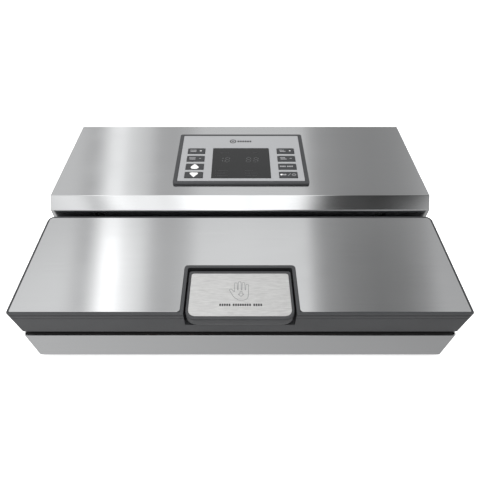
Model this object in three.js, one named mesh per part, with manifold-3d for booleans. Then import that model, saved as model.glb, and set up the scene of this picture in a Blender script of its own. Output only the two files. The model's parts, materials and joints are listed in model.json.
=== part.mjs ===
// Vacuum sealer with a hinged lid, a press handle that works two latch hooks, and a rear
// housing that carries the control panel, the pump and the power supply.
// Millimetres. +X to the right, +Y to the back, +Z up. The origin is on the surface that
// the machine stands on, under the middle of the whole object.
import * as THREE from "three";
import { mergeVertices } from "three/addons/utils/BufferGeometryUtils.js";
import Module from "manifold-3d";

const wasm = await Module();
wasm.setup();

// ---- Driving dimensions -----------------------------------------------------------------
const TOUCH = 0.3; // gap kept between pieces that rest against each other
const RUN = 0.3; // radial gap of a turning pin in its hole
const OVER = 2; // how far a cutting block runs past what it cuts

const LID_WIDTH = 401; // lid rim, the widest piece
const BASE_DEPTH = 264; // front to back of the steel base
const FOOT_HEIGHT = 6;
const DECK_HEIGHT = 44; // top of the deck, and of the steel base around it
const LID_HEIGHT = 80; // top of the closed lid
const REAR_HEIGHT = 96; // top of the rear housing

const SHEET = 1.2; // folded stainless steel
const SIDE_INSET = 2; // base and rear housing are this much narrower than the lid, each side

const LID_SETBACK = 1; // lid front behind base front
const LID_DEPTH = 118.3;
const LID_GAP = 3; // bag slot between the deck and the skirt
const LID_WALL = 2.5;
const LID_TOP_SHELL = 2;
const SKIRT_DRAFT = 0.9; // how far the skirt leans in from rim to hem
const HEM = 1.5; // rounding of the skirt's lower edge
const LID_RIM = 1.9; // plastic rim left showing round the steel lid plate
const LID_PLATE = 0.9;
const LID_PLATE_SUNK = 0.1; // lid plate's top below the rim's
const LID_BACK_RADIUS = 6;
const LID_FRONT_RADIUS = 3;

const HINGE_X = 150;
const HINGE_SETIN = 8.3; // hinge axis in front of the lid's back edge
const HINGE_DROP = 8; // hinge axis below the lid's top
const HINGE_PIN_R = 2.2;
const HINGE_LUG_R = 4.2;
const HINGE_LUG_WIDTH = 8;

const HANDLE_WIDTH = 94;
const HANDLE_DEPTH = 50.5;
const HANDLE_HEIGHT = 13;
const HANDLE_OVERHANG = 4.4; // handle lip in front of the lid's front
const HANDLE_SIDE_GAP = 1.6;
const HANDLE_BACK_GAP = 3.8;
const HANDLE_WALL = 2.4;
const HANDLE_RIM = 2.1; // plastic edge beside the handle's metal plate
const HANDLE_REAR_RIM = 2.7;
const HANDLE_FRONT_RADIUS = 8.5;
const HANDLE_BACK_RADIUS = 2.5;
const HANDLE_PLATE = 0.8;
const HANDLE_PIN_R = 1.4;
const HANDLE_PIN_SETIN = 8.1; // pivot in front of the handle's back edge
const HANDLE_PIN_DROP = 5.5; // pivot below the handle's top
const HANDLE_PIN_BITE = 1.5; // how far the pin reaches into the notch's walls
const NOTCH_WALL = 2.5;
const NOTCH_DEPTH = 19;
const NOTCH_RADIUS = 3; // corners of the lid plate round the notch

const CRANK = 7.5; // crank radius of the handle's ears and of the latch shaft
const LINK_HALF = 2.2;
const STUD_R = 1.7;
const STUD_WALL = 1.4; // material round a stud's hole
const EAR = [2.2, 4.7]; // the two ears' faces, from the middle of the link
const SHAFT_R = 3;
const SHAFT_BEHIND = 27; // latch shaft behind the handle's pivot
const SHAFT_DROP = 12; // latch shaft below the lid's top
const SHAFT_RIB_X = 120;
const RIB = 3;

const HOOK_X = 182;
const HOOK_THICK = 3;
const HOOK_HUB_R = 6.5;
const HOOK_ARM = 7; // width of the hook's arm
const HOOK_REACH = 33; // from the shaft down to the tip
const HOOK_NOSE = [5.5, 3.5]; // nose: length behind the arm, height
const KEEPER = [10, 7, 4.5]; // latch keeper: width, depth, height
const KEEPER_CLEAR = 0.5; // nose to keeper

const CHAMBER_HALF_WIDTH = 162; // vacuum chamber trough
const CHAMBER_RADIUS = 4;
const CHAMBER_DEPTH = 47;
const CHAMBER_FLOOR = 16.5;
const CHAMBER_BEHIND_HANDLE = 47; // chamber's back wall behind the handle's pivot
const TROUGH_WALL = 2.5;
const DECK_PLATE = 3;
const GASKET_WIDTH = 6;
const GASKET_RADIUS = 12;
const GASKET_MARGIN = 4; // chamber's edge to the gasket
const GASKET_SPLIT = 49; // height where the two gaskets meet
const LINER_BOTTOM = 54.5;
const LINER = 2;

const SEAL_HALF = 155; // half length of the sealing bar
const SEAL_WIDTH = 10;
const SEAL_FROM_FRONT = 15; // sealing line behind the base's front
const SEAL_SEAT = 1.5; // how deep the bar sits in the deck
const SEAL_TOP = 47;
const STRIP_THICK = 0.5;
const STRIP_WIDTH = 4;

const REAR_GAP = 3.8; // lid's back edge to the rear housing
const REAR_CHAMFER = 11;

const PANEL_X = 1.2; // middle of the control panel, right of the machine's
const BEZEL = [147, 92.8, 2]; // control panel frame: width, depth, height
const BEZEL_SETBACK = 27.3; // front edge of the panel frame behind the rear housing's front
const BEZEL_EDGE = [4.2, 4.3, 2.6]; // frame's width at the sides, front and back
const BEZEL_SEAT = [12, 9]; // how far the frame covers the steel round its opening
const BEZEL_RADIUS = 2.5;
const BEZEL_FLOOR = 0.8;
const PANEL_PLATE = 0.7;
const PANEL_RADIUS = 1; // corners of the plate inside the frame
const WINDOW = [64.8, 55.2]; // display window
const WINDOW_RADIUS = 1.8;
const WINDOW_PROUD = 0.1;
const WINDOW_FRONT = 9.2; // window's front edge behind the frame's
const KEY = [19.8, 10.4, 0.9]; // key cap: width, depth, thickness
const KEY_RADIUS = 2.2;
const KEY_PROUD = 0.5;
const KEY_X = 51.8; // middle of a key column, from the panel's middle
const KEY_PITCH = 14.65;
const KEY_FRONT = 14.6; // middle of the front row of keys, behind the frame's front
const KEY_ROWS = 4;
const KEY_STEM = 3;
const BOARD_BELOW = 6; // top of the panel's circuit board, under the steel
const PCB = 1.6;
const SWITCH = [6, 6, 1]; // push switch under each key
const BOARD_SETIN = 4; // panel's board inside the frame's edge, at each side

const TURN = Math.PI * 2;

// ---- Places that follow from them -------------------------------------------------------
const sideX = LID_WIDTH / 2 - SIDE_INSET;
const innerX = sideX - SHEET - TOUCH;
const frontY = -BASE_DEPTH / 2;
const backY = BASE_DEPTH / 2;
const lidFront = frontY + LID_SETBACK;
const lidBack = lidFront + LID_DEPTH;
const lidHem = DECK_HEIGHT + LID_GAP;
const lidPocket = LID_HEIGHT - LID_PLATE_SUNK - LID_PLATE - TOUCH; // floor of the pocket for the lid plate
const lidCeiling = lidPocket - LID_TOP_SHELL;
const rearFront = lidBack + REAR_GAP;
const hinge = [lidBack - HINGE_SETIN, LID_HEIGHT - HINGE_DROP];

const handleFront = lidFront - HANDLE_OVERHANG;
const handleBack = handleFront + HANDLE_DEPTH;
const handlePivot = [handleBack - HANDLE_PIN_SETIN, LID_HEIGHT - HANDLE_PIN_DROP];
const notchHalf = HANDLE_WIDTH / 2 + HANDLE_SIDE_GAP;
const notchBack = handleBack + HANDLE_BACK_GAP;
const notchFloor = LID_HEIGHT - NOTCH_DEPTH;
const earPin = [handlePivot[0], handlePivot[1] - CRANK];
const shaft = [handlePivot[0] + SHAFT_BEHIND, LID_HEIGHT - SHAFT_DROP];
const crankPin = [shaft[0], shaft[1] - CRANK];
const hookTip = shaft[1] - HOOK_REACH;
const noseBack = shaft[0] + HOOK_ARM / 2 + HOOK_NOSE[0];

const chamberBack = handlePivot[0] + CHAMBER_BEHIND_HANDLE;
const chamberFront = chamberBack - CHAMBER_DEPTH;
const sealY = frontY + SEAL_FROM_FRONT;

const steelTop = REAR_HEIGHT;
const steelUnder = steelTop - SHEET;
const bezelFront = rearFront + BEZEL_SETBACK;
const bezelBottom = steelTop + TOUCH;
const bezelTop = bezelBottom + BEZEL[2];
const bezelFloor = bezelBottom + BEZEL_FLOOR;
const panelTop = bezelFloor + TOUCH + PANEL_PLATE;
const bezelBack = bezelFront + BEZEL[1];
const bezelXs = [PANEL_X - BEZEL[0] / 2, PANEL_X + BEZEL[0] / 2];

// ---- Finishes ---------------------------------------------------------------------------
function finish(color, roughness, metalness) {
  return new THREE.MeshStandardMaterial({ color, roughness, metalness });
}
const STEEL = finish(0xb9babb, 0.28, 1);
const BRUSHED_ALUMINIUM = finish(0xd6d6d4, 0.4, 0.9);
const DARK_PLASTIC = finish(0x3a3b3c, 0.5, 0);
const BLACK_PLASTIC = finish(0x1c1d1e, 0.55, 0);
const PANEL_SILVER = finish(0xc4c5c6, 0.45, 0.4);
const WINDOW_SMOKE = finish(0x333436, 0.15, 0);
const KEY_CHARCOAL = finish(0x2f3032, 0.5, 0);
const RUBBER = finish(0x202122, 0.9, 0);
const FOAM = finish(0x4a4b4d, 0.95, 0);
const SILICONE = finish(0xb6533c, 0.7, 0);
const HEATER = finish(0x9a8f80, 0.4, 0.8);
const ZINC = finish(0xa8abad, 0.4, 0.9);
const BOARD_GREEN = finish(0x2f6b46, 0.6, 0);
const COPPER = finish(0xa8623a, 0.45, 0.8);
const LAMINATION = finish(0x55565a, 0.5, 0.7);
const CLEAR_TUBE = finish(0xcfd6d8, 0.3, 0);

// ---- Solids -----------------------------------------------------------------------------

// A closed three.js geometry as a solid that can be joined and cut.
function solid(geometry) {
  const bare = geometry.index ? geometry.toNonIndexed() : geometry.clone();
  for (const name of Object.keys(bare.attributes)) {
    if (name !== "position") bare.deleteAttribute(name);
  }
  const merged = mergeVertices(bare, 1e-4);
  return new wasm.Manifold(new wasm.Mesh({
    numProp: 3,
    vertProperties: new Float32Array(merged.attributes.position.array),
    triVerts: new Uint32Array(merged.index.array),
  }));
}

// A block between two corners, each side given as [low, high].
function block([x0, x1], [y0, y1], [z0, z1]) {
  const geometry = new THREE.BoxGeometry(x1 - x0, y1 - y0, z1 - z0);
  geometry.translate((x0 + x1) / 2, (y0 + y1) / 2, (z0 + z1) / 2);
  return solid(geometry);
}

// A round bar along axis "x", "y" or "z"; the centre gives its other two coordinates in order.
function rod(axis, radius, [from, to], [u, v], sides = 20) {
  const geometry = new THREE.CylinderGeometry(radius, radius, to - from, sides);
  const middle = (from + to) / 2;
  if (axis === "x") geometry.rotateZ(-Math.PI / 2).translate(middle, u, v);
  if (axis === "y") geometry.translate(u, middle, v);
  if (axis === "z") geometry.rotateX(Math.PI / 2).translate(u, v, middle);
  return solid(geometry);
}

// A rectangle seen from above, with one corner radius at the front and one at the back.
function roundedOutline([x0, x1], [y0, y1], front, back = front) {
  const outline = new THREE.Shape();
  outline.absarc(x1 - front, y0 + front, front, -TURN / 4, 0);
  outline.absarc(x1 - back, y1 - back, back, 0, TURN / 4);
  outline.absarc(x0 + back, y1 - back, back, TURN / 4, TURN / 2);
  outline.absarc(x0 + front, y0 + front, front, TURN / 2, 0.75 * TURN);
  return outline;
}

// An outline raised from one height to another.
function slab(outline, [z0, z1], arcSteps = 2) {
  const options = { depth: z1 - z0, bevelEnabled: false, curveSegments: arcSteps };
  const geometry = new THREE.ExtrudeGeometry(outline, options);
  geometry.translate(0, 0, z0);
  return solid(geometry);
}

// A rounded box whose walls lean: levels are [height, inset] from the bottom up.
function leaningBox(xs, ys, front, back, levels, arcSteps = 3) {
  const steps = levels.length - 1;
  const outline = roundedOutline(xs, ys, front, back);
  const options = { depth: steps, steps, bevelEnabled: false, curveSegments: arcSteps };
  const geometry = new THREE.ExtrudeGeometry(outline, options);
  const at = geometry.attributes.position;
  const middle = [(xs[0] + xs[1]) / 2, (ys[0] + ys[1]) / 2];
  const half = [(xs[1] - xs[0]) / 2, (ys[1] - ys[0]) / 2];
  for (let i = 0; i < at.count; i += 1) {
    const [height, inset] = levels[Math.round(at.getZ(i))];
    const x = middle[0] + (at.getX(i) - middle[0]) * (1 - inset / half[0]);
    const y = middle[1] + (at.getY(i) - middle[1]) * (1 - inset / half[1]);
    at.setXYZ(i, x, y, height);
  }
  return solid(geometry);
}

// A side outline, given as [y, z] points or a Shape, carried along X.
function prism(outline, [x0, x1], arcSteps = 3) {
  const shape = Array.isArray(outline)
    ? new THREE.Shape(outline.map(([y, z]) => new THREE.Vector2(y, z)))
    : outline;
  const options = { depth: x1 - x0, bevelEnabled: false, curveSegments: arcSteps };
  const geometry = new THREE.ExtrudeGeometry(shape, options);
  const toSide = new THREE.Matrix4().makeBasis(
    new THREE.Vector3(0, 1, 0), new THREE.Vector3(0, 0, 1), new THREE.Vector3(1, 0, 0));
  geometry.applyMatrix4(toSide);
  geometry.translate(x0, 0, 0);
  return solid(geometry);
}

// A bar with round ends between two [y, z] points, as a side outline.
function barOutline([ya, za], [yb, zb], radius) {
  const lean = Math.atan2(zb - za, yb - ya);
  const outline = new THREE.Shape();
  outline.absarc(yb, zb, radius, lean - TURN / 4, lean + TURN / 4);
  outline.absarc(ya, za, radius, lean + TURN / 4, lean + 0.75 * TURN);
  return outline;
}

// A turned piece about Z from [radius, height] points that start and end on the axis.
function turned(points, sides = 24) {
  return solid(new THREE.LatheGeometry(points.map(([r, z]) => new THREE.Vector2(r, z)), sides)
    .rotateX(Math.PI / 2));
}

const TIGHT_RADIUS = 0.5; // inside corner of a ring that closes round a square piece

// A ring of rectangular plan: outer and inner rounded boxes of the same height.
function frameRing(xs, ys, width, radius, heights) {
  const inside = (pair) => [pair[0] + width, pair[1] - width];
  const hole = roundedOutline(inside(xs), inside(ys), Math.max(radius - width, TIGHT_RADIUS));
  return slab(roundedOutline(xs, ys, radius), heights)
    .subtract(slab(hole, [heights[0] - OVER, heights[1] + OVER]));
}

const around = (middle, width) => [middle - width / 2, middle + width / 2];
const both = [-1, 1];

// Puts one solid into the model as a named mesh.
function part(parent, name, body, look, place = [0, 0, 0]) {
  const mesh = body.getMesh();
  const geometry = new THREE.BufferGeometry();
  geometry.setAttribute("position", new THREE.BufferAttribute(new Float32Array(mesh.vertProperties), 3));
  geometry.setIndex(new THREE.BufferAttribute(new Uint32Array(mesh.triVerts), 1));
  geometry.computeVertexNormals();
  const item = new THREE.Mesh(geometry, look);
  item.name = name;
  item.position.set(...place);
  parent.add(item);
}

const machine = new THREE.Group();
const lid = new THREE.Group();
const handle = new THREE.Group();
lid.add(handle);
machine.add(lid);

const grow = ([low, high], by) => [low - by, high + by];
const chamberXs = [-CHAMBER_HALF_WIDTH, CHAMBER_HALF_WIDTH];
const chamberYs = [chamberFront, chamberBack];

// ---- Base -------------------------------------------------------------------------------
const WRAP_RADIUS = 2.5; // folded corner of the steel base
const FOOT = { radius: 10, setIn: 27 };
const VENT = { count: 7, width: 36, slot: 2.4, pitch: 5.4 }; // ventilation slots in one panel

// Horizontal or lengthwise slots, as blocks to cut a panel with.
function ventCuts(cutAt) {
  return Array.from({ length: VENT.count }, (_, i) => cutAt((i - (VENT.count - 1) / 2) * VENT.pitch));
}

function makeBase() {
  const wrap = frameRing([-sideX, sideX], [frontY, backY], SHEET, WRAP_RADIUS, [FOOT_HEIGHT, DECK_HEIGHT]);
  part(machine, "base_wrap", wrap, STEEL);

  const floorYs = [frontY + SHEET + TOUCH, backY - SHEET - TOUCH];
  const floorHeights = [FOOT_HEIGHT, FOOT_HEIGHT + SHEET];
  let floor = slab(roundedOutline([-innerX, innerX], floorYs, WRAP_RADIUS), floorHeights);
  for (const cut of ventCuts((at) => block(around(0, VENT.width), around(backY / 2 + at, VENT.slot),
    grow(floorHeights, OVER)))) floor = floor.subtract(cut);
  part(machine, "bottom_plate", floor, ZINC);

  const top = FOOT_HEIGHT - TOUCH;
  const foot = turned([[0, 0], [FOOT.radius - 1, 0], [FOOT.radius, 1], [FOOT.radius - 1.5, top], [0, top]]);
  const corners = { front_left: [-1, -1], front_right: [1, -1], back_left: [-1, 1], back_right: [1, 1] };
  for (const [corner, [x, y]] of Object.entries(corners)) {
    part(machine, `foot_${corner}`, foot, RUBBER, [x * (sideX - FOOT.setIn), y * (backY - FOOT.setIn), 0]);
  }
}

// ---- Deck, vacuum chamber and sealing bar -----------------------------------------------
const HOOK_SLOT = { side: 2.5, front: 26, back: 1.5 }; // room round a hook in the deck
const DECK_UNDER_HOUSING = 6; // how far the deck runs under the rear housing
const PORT = { x: -120, z: 25, radius: 4, bore: 2, flange: 6.5, lip: 2, length: 14 };
const TRAY = { half: 58, setIn: 3, wall: 1.5, height: 12, radius: 5 };

function makeDeck() {
  const ys = [frontY + SHEET + TOUCH, rearFront + DECK_UNDER_HOUSING];
  const above = DECK_HEIGHT + OVER;
  const troughXs = grow(chamberXs, TROUGH_WALL);
  const troughYs = grow(chamberYs, TROUGH_WALL);
  const troughHeights = [CHAMBER_FLOOR - TROUGH_WALL, DECK_HEIGHT];
  let deck = slab(roundedOutline([-innerX, innerX], ys, WRAP_RADIUS), [DECK_HEIGHT - DECK_PLATE, DECK_HEIGHT])
    .add(slab(roundedOutline(troughXs, troughYs, CHAMBER_RADIUS + TROUGH_WALL), troughHeights))
    .subtract(slab(roundedOutline(chamberXs, chamberYs, CHAMBER_RADIUS), [CHAMBER_FLOOR, above]))
    .subtract(block(grow([-SEAL_HALF, SEAL_HALF], TOUCH), around(sealY, SEAL_WIDTH + 2 * TOUCH),
      [DECK_HEIGHT - SEAL_SEAT, above]))
    .subtract(rod("y", PORT.radius + TOUCH, [chamberBack - OVER, chamberBack + TROUGH_WALL + OVER],
      [PORT.x, PORT.z]));
  for (const side of both) {
    deck = deck.subtract(block(around(side * HOOK_X, HOOK_THICK + 2 * HOOK_SLOT.side),
      [shaft[0] - HOOK_SLOT.front, noseBack + HOOK_SLOT.back], [DECK_HEIGHT - DECK_PLATE - OVER, above]));
  }
  part(machine, "deck", deck, BLACK_PLASTIC);

  const gasket = frameRing(grow(chamberXs, GASKET_MARGIN + GASKET_WIDTH),
    grow(chamberYs, GASKET_MARGIN + GASKET_WIDTH), GASKET_WIDTH, GASKET_RADIUS,
    [DECK_HEIGHT + TOUCH, GASKET_SPLIT - TOUCH / 2]);
  part(machine, "lower_gasket", gasket, FOAM);

  const barXs = [-SEAL_HALF, SEAL_HALF];
  const bar = block(barXs, around(sealY, SEAL_WIDTH), [DECK_HEIGHT - SEAL_SEAT + TOUCH, SEAL_TOP]);
  part(machine, "seal_bar", bar, BRUSHED_ALUMINIUM);
  const stripBottom = SEAL_TOP + TOUCH;
  part(machine, "heating_strip",
    block(barXs, around(sealY, STRIP_WIDTH), [stripBottom, stripBottom + STRIP_THICK]), HEATER);

  const portYs = [chamberBack - TOUCH - PORT.lip, chamberBack + PORT.length];
  const port = rod("y", PORT.flange, [portYs[0], portYs[0] + PORT.lip], [PORT.x, PORT.z])
    .add(rod("y", PORT.radius, portYs, [PORT.x, PORT.z]))
    .subtract(rod("y", PORT.bore, grow(portYs, OVER), [PORT.x, PORT.z], 12));
  part(machine, "vacuum_port", port, BLACK_PLASTIC);

  const trayXs = [-TRAY.half, TRAY.half];
  const trayYs = grow(chamberYs, -TRAY.setIn);
  const trayBottom = CHAMBER_FLOOR + TOUCH;
  const tray = slab(roundedOutline(trayXs, trayYs, TRAY.radius), [trayBottom, trayBottom + TRAY.height])
    .subtract(slab(roundedOutline(grow(trayXs, -TRAY.wall), grow(trayYs, -TRAY.wall),
      TRAY.radius - TRAY.wall), [trayBottom + TRAY.wall, trayBottom + TRAY.height + OVER]));
  part(machine, "drip_tray", tray, KEY_CHARCOAL);

  const keeperTop = DECK_HEIGHT - DECK_PLATE - TOUCH;
  const keeperFront = noseBack + KEEPER_CLEAR;
  const keeper = block(around(0, KEEPER[0]), [keeperFront, keeperFront + KEEPER[1]],
    [keeperTop - KEEPER[2], keeperTop]);
  part(machine, "latch_keeper_left", keeper, ZINC, [-HOOK_X, 0, 0]);
  part(machine, "latch_keeper_right", keeper, ZINC, [HOOK_X, 0, 0]);
}

// ---- Hinge brackets ---------------------------------------------------------------------
const BRACKET_FOOT = [9, 3]; // foot of a hinge bracket: reach behind the axis, thickness

function makeHingeBrackets() {
  const low = DECK_HEIGHT + TOUCH;
  const xs = around(0, HINGE_LUG_WIDTH);
  const bracket = block(xs, around(hinge[0], 2 * HINGE_LUG_R), [low, hinge[1]])
    .add(rod("x", HINGE_LUG_R, xs, hinge, 24))
    .add(block(xs, [hinge[0] - HINGE_LUG_R, hinge[0] + BRACKET_FOOT[0]], [low, low + BRACKET_FOOT[1]]))
    .subtract(rod("x", HINGE_PIN_R + RUN, grow(xs, OVER), hinge));
  part(machine, "hinge_bracket_left", bracket, ZINC, [-HINGE_X, 0, 0]);
  part(machine, "hinge_bracket_right", bracket, ZINC, [HINGE_X, 0, 0]);
}

// ---- Rear housing -----------------------------------------------------------------------
const BACK_PANEL_IN = 2; // back panel in front of the housing's back edge
const INLET = { x: -150, z: 70, flange: [34, 26], body: [28, 21], depth: 17, wall: 2 };
const INLET_PIN = { size: [2, 4], recess: 4, spread: 7, rise: 2 }; // middle pin stands higher
const ROOT = 1; // how deep a pin, stub or component is rooted in what carries it
const SWITCH_AT = { x: -105, z: 70 }; // mains rocker switch
const SWITCH_BOX = { flange: [18, 27], body: [14.6, 24], lip: 2, depth: 14 };
const ROCKER = { half: 6.1, crown: 2.5, valley: 1.2, reach: 9.5, tail: 7, tailReach: 8, tilt: 10 };
const ROCKER_UNDER = 2.3; // room under the rocker's tail
const ROCKER_SIDE = 0.4; // rocker to housing at each side
const ROCKER_END = 0.7; // room at the rocker's ends
const TRUNNION = { radius: 1.2, reach: 0.9 }; // stubs that the rocker tilts on
const FAN = { x: 150, z: 70, size: 40, depth: 10, bore: 18.5, hub: 8, blades: 7, strut: 2, gap: 1 };
const BLADE = { thick: 1.2, lean: TURN / 9, clear: 0.5 }; // clear: rotor to the frame's two faces

const panelYs = [backY - BACK_PANEL_IN - SHEET, backY - BACK_PANEL_IN];
const flangeFront = panelYs[1] + TOUCH;

// A block across Y with a width and height about a point, for what sits in the back panel.
function plug({ x, z }, [width, height], ys) {
  return block(around(x, width), ys, around(z, height));
}

function makeCover() {
  const fold = SHEET * (Math.SQRT2 - 1);
  const low = DECK_HEIGHT + TOUCH;
  const outer = [[rearFront, low], [backY, low], [backY, steelTop],
    [rearFront + REAR_CHAMFER, steelTop], [rearFront, steelTop - REAR_CHAMFER]];
  const inner = [[rearFront + SHEET, low - OVER], [backY + OVER, low - OVER], [backY + OVER, steelUnder],
    [rearFront + REAR_CHAMFER + fold, steelUnder], [rearFront + SHEET, steelTop - REAR_CHAMFER - fold]];
  const cover = prism(outer, [-sideX, sideX])
    .subtract(prism(inner, [SHEET - sideX, sideX - SHEET]))
    .subtract(block(grow(bezelXs, -BEZEL_SEAT[0]), grow([bezelFront, bezelBack], -BEZEL_SEAT[1]),
      [steelUnder - OVER, steelTop + OVER]));
  part(machine, "rear_cover", cover, STEEL);
}

function makeBackPanel() {
  const through = grow(panelYs, OVER);
  let panel = block([-innerX, innerX], panelYs, [DECK_HEIGHT + TOUCH, steelUnder - TOUCH])
    .subtract(plug(INLET, INLET.body.map((size) => size + 2 * TOUCH), through))
    .subtract(plug(SWITCH_AT, SWITCH_BOX.body.map((size) => size + 2 * TOUCH), through));
  for (const cut of ventCuts((at) => plug({ x: FAN.x, z: FAN.z + at }, [VENT.width, VENT.slot], through))) {
    panel = panel.subtract(cut);
  }
  part(machine, "back_panel", panel, ZINC);
}

function makeInlet() {
  const face = -handleFront; // stands as far behind the housing as the handle does in front
  const inside = INLET.body.map((size) => size - 2 * INLET.wall);
  const floor = flangeFront - INLET.depth + INLET.wall;
  let inlet = plug(INLET, INLET.flange, [flangeFront, face])
    .add(plug(INLET, INLET.body, [flangeFront - INLET.depth, face]))
    .subtract(plug(INLET, inside, [floor, face + OVER]));
  for (const step of [-1, 0, 1]) {
    const spot = { x: INLET.x + step * INLET_PIN.spread, z: INLET.z + (step ? -1 : 1) * INLET_PIN.rise };
    inlet = inlet.add(plug(spot, INLET_PIN.size, [floor - ROOT, face - INLET_PIN.recess]));
  }
  part(machine, "power_inlet", inlet, BLACK_PLASTIC);
}

function makeRocker() {
  const pivotY = flangeFront;
  const cavity = [2 * (ROCKER.half + ROCKER_SIDE), 2 * (ROCKER.reach + ROCKER_END)];
  const cavityFloor = pivotY - ROCKER.tail - ROCKER_UNDER;
  const box = plug(SWITCH_AT, SWITCH_BOX.flange, [flangeFront, flangeFront + SWITCH_BOX.lip])
    .add(plug(SWITCH_AT, SWITCH_BOX.body, [flangeFront - SWITCH_BOX.depth, flangeFront + SWITCH_BOX.lip]))
    .subtract(plug(SWITCH_AT, cavity, [cavityFloor, flangeFront + SWITCH_BOX.lip + OVER]))
    .subtract(rod("x", TRUNNION.radius + RUN, around(SWITCH_AT.x, 2 * (ROCKER.half + TRUNNION.reach + RUN)),
      [pivotY, SWITCH_AT.z], 12));
  part(machine, "switch_housing", box, BLACK_PLASTIC);

  const { crown, valley, reach, tail, tailReach, half } = ROCKER;
  const side = [[-tail, -tailReach], [crown, -reach], [valley, 0], [crown, reach], [-tail, tailReach]];
  const rocker = prism(side, [-half, half])
    .add(rod("x", TRUNNION.radius, grow([-half, half], TRUNNION.reach), [0, 0], 12));
  const mount = new THREE.Group();
  mount.position.set(SWITCH_AT.x, pivotY, SWITCH_AT.z);
  mount.rotation.x = THREE.MathUtils.degToRad(ROCKER.tilt);
  machine.add(mount);
  part(mount, "rocker", rocker, KEY_CHARCOAL);
}

function makeFan() {
  const ys = [panelYs[0] - FAN.gap - FAN.depth, panelYs[0] - FAN.gap];
  const at = [FAN.x, FAN.z];
  const strutYs = [ys[0], ys[0] + FAN.strut];
  const frame = plug(FAN, [FAN.size, FAN.size], ys)
    .subtract(rod("y", FAN.bore, grow(ys, OVER), at, 24))
    .add(rod("y", FAN.hub, strutYs, at, 16))
    .add(plug(FAN, [2 * FAN.bore + ROOT, FAN.strut], strutYs))
    .add(plug(FAN, [FAN.strut, 2 * FAN.bore + ROOT], strutYs));
  part(machine, "fan_frame", frame, BLACK_PLASTIC);

  const rotorYs = [strutYs[1] + BLADE.clear, ys[1] - BLADE.clear];
  const rotorDepth = rotorYs[1] - rotorYs[0];
  let rotor = rod("y", FAN.hub, rotorYs, [0, 0], 14);
  for (let i = 0; i < FAN.blades; i += 1) {
    const blade = new THREE.BoxGeometry(FAN.bore - FAN.hub, rotorDepth, BLADE.thick);
    blade.rotateX(BLADE.lean).translate((FAN.bore + FAN.hub) / 2 - ROOT, 0, 0);
    blade.rotateY((i * TURN) / FAN.blades).translate(0, (rotorYs[0] + rotorYs[1]) / 2, 0);
    rotor = rotor.add(solid(blade));
  }
  part(machine, "fan_rotor", rotor, KEY_CHARCOAL, [FAN.x, 0, FAN.z]);
}

// ---- Control panel ----------------------------------------------------------------------
const STEM_ROOM = 0.5; // under each key's stem, more than the key travels
const keySpots = both.flatMap((side) => Array.from({ length: KEY_ROWS }, (_, row) => ({
  name: `key_${side < 0 ? "left" : "right"}_${row + 1}`,
  x: PANEL_X + side * KEY_X,
  y: bezelFront + KEY_FRONT + row * KEY_PITCH,
})));

function keyHole({ x, y }, [width, depth], room, heights) {
  return block(around(x, width + 2 * room), around(y, depth + 2 * room), heights);
}

function makePanel() {
  const ys = [bezelFront, bezelBack];
  const pocketXs = grow(bezelXs, -BEZEL_EDGE[0]);
  const pocketYs = [ys[0] + BEZEL_EDGE[1], ys[1] - BEZEL_EDGE[2]];
  const stem = [KEY_STEM, KEY_STEM];
  let bezel = slab(roundedOutline(bezelXs, ys, BEZEL_RADIUS), [bezelBottom, bezelTop])
    .subtract(slab(roundedOutline(pocketXs, pocketYs, PANEL_RADIUS), [bezelFloor, bezelTop + OVER]));
  const plateHeights = [bezelFloor + TOUCH, panelTop];
  const windowXs = around(PANEL_X, WINDOW[0]);
  const windowYs = [ys[0] + WINDOW_FRONT, ys[0] + WINDOW_FRONT + WINDOW[1]];
  let plate = slab(roundedOutline(grow(pocketXs, -TOUCH), grow(pocketYs, -TOUCH), PANEL_RADIUS), plateHeights)
    .subtract(block(grow(windowXs, TOUCH), grow(windowYs, TOUCH), grow(plateHeights, OVER)));
  for (const spot of keySpots) {
    bezel = bezel.subtract(keyHole(spot, stem, 2 * TOUCH, [bezelBottom - OVER, bezelFloor + OVER]));
    plate = plate.subtract(keyHole(spot, KEY, TOUCH, grow(plateHeights, OVER)));
  }
  part(machine, "panel_bezel", bezel, DARK_PLASTIC);
  part(machine, "panel_plate", plate, PANEL_SILVER);
  part(machine, "display_window",
    slab(roundedOutline(windowXs, windowYs, WINDOW_RADIUS), [plateHeights[0], panelTop + WINDOW_PROUD]),
    WINDOW_SMOKE);

  const boardTop = steelUnder - BOARD_BELOW;
  const keyTop = panelTop + KEY_PROUD;
  const stemBottom = boardTop + SWITCH[2] + STEM_ROOM;
  const capHeights = [keyTop - KEY[2], keyTop];
  const cap = slab(roundedOutline(around(0, KEY[0]), around(0, KEY[1]), KEY_RADIUS), capHeights)
    .add(block(around(0, KEY_STEM), around(0, KEY_STEM), [stemBottom, keyTop - KEY[2] / 2]));
  let board = block(grow(pocketXs, -BOARD_SETIN), grow(ys, -BEZEL_EDGE[1]), [boardTop - PCB, boardTop]);
  for (const spot of keySpots) {
    board = board.add(keyHole(spot, SWITCH, 0, [boardTop - PCB, boardTop + SWITCH[2]]));
    part(machine, spot.name, cap, KEY_CHARCOAL, [spot.x, spot.y, 0]);
  }
  part(machine, "panel_board", board, BOARD_GREEN);
}

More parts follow.
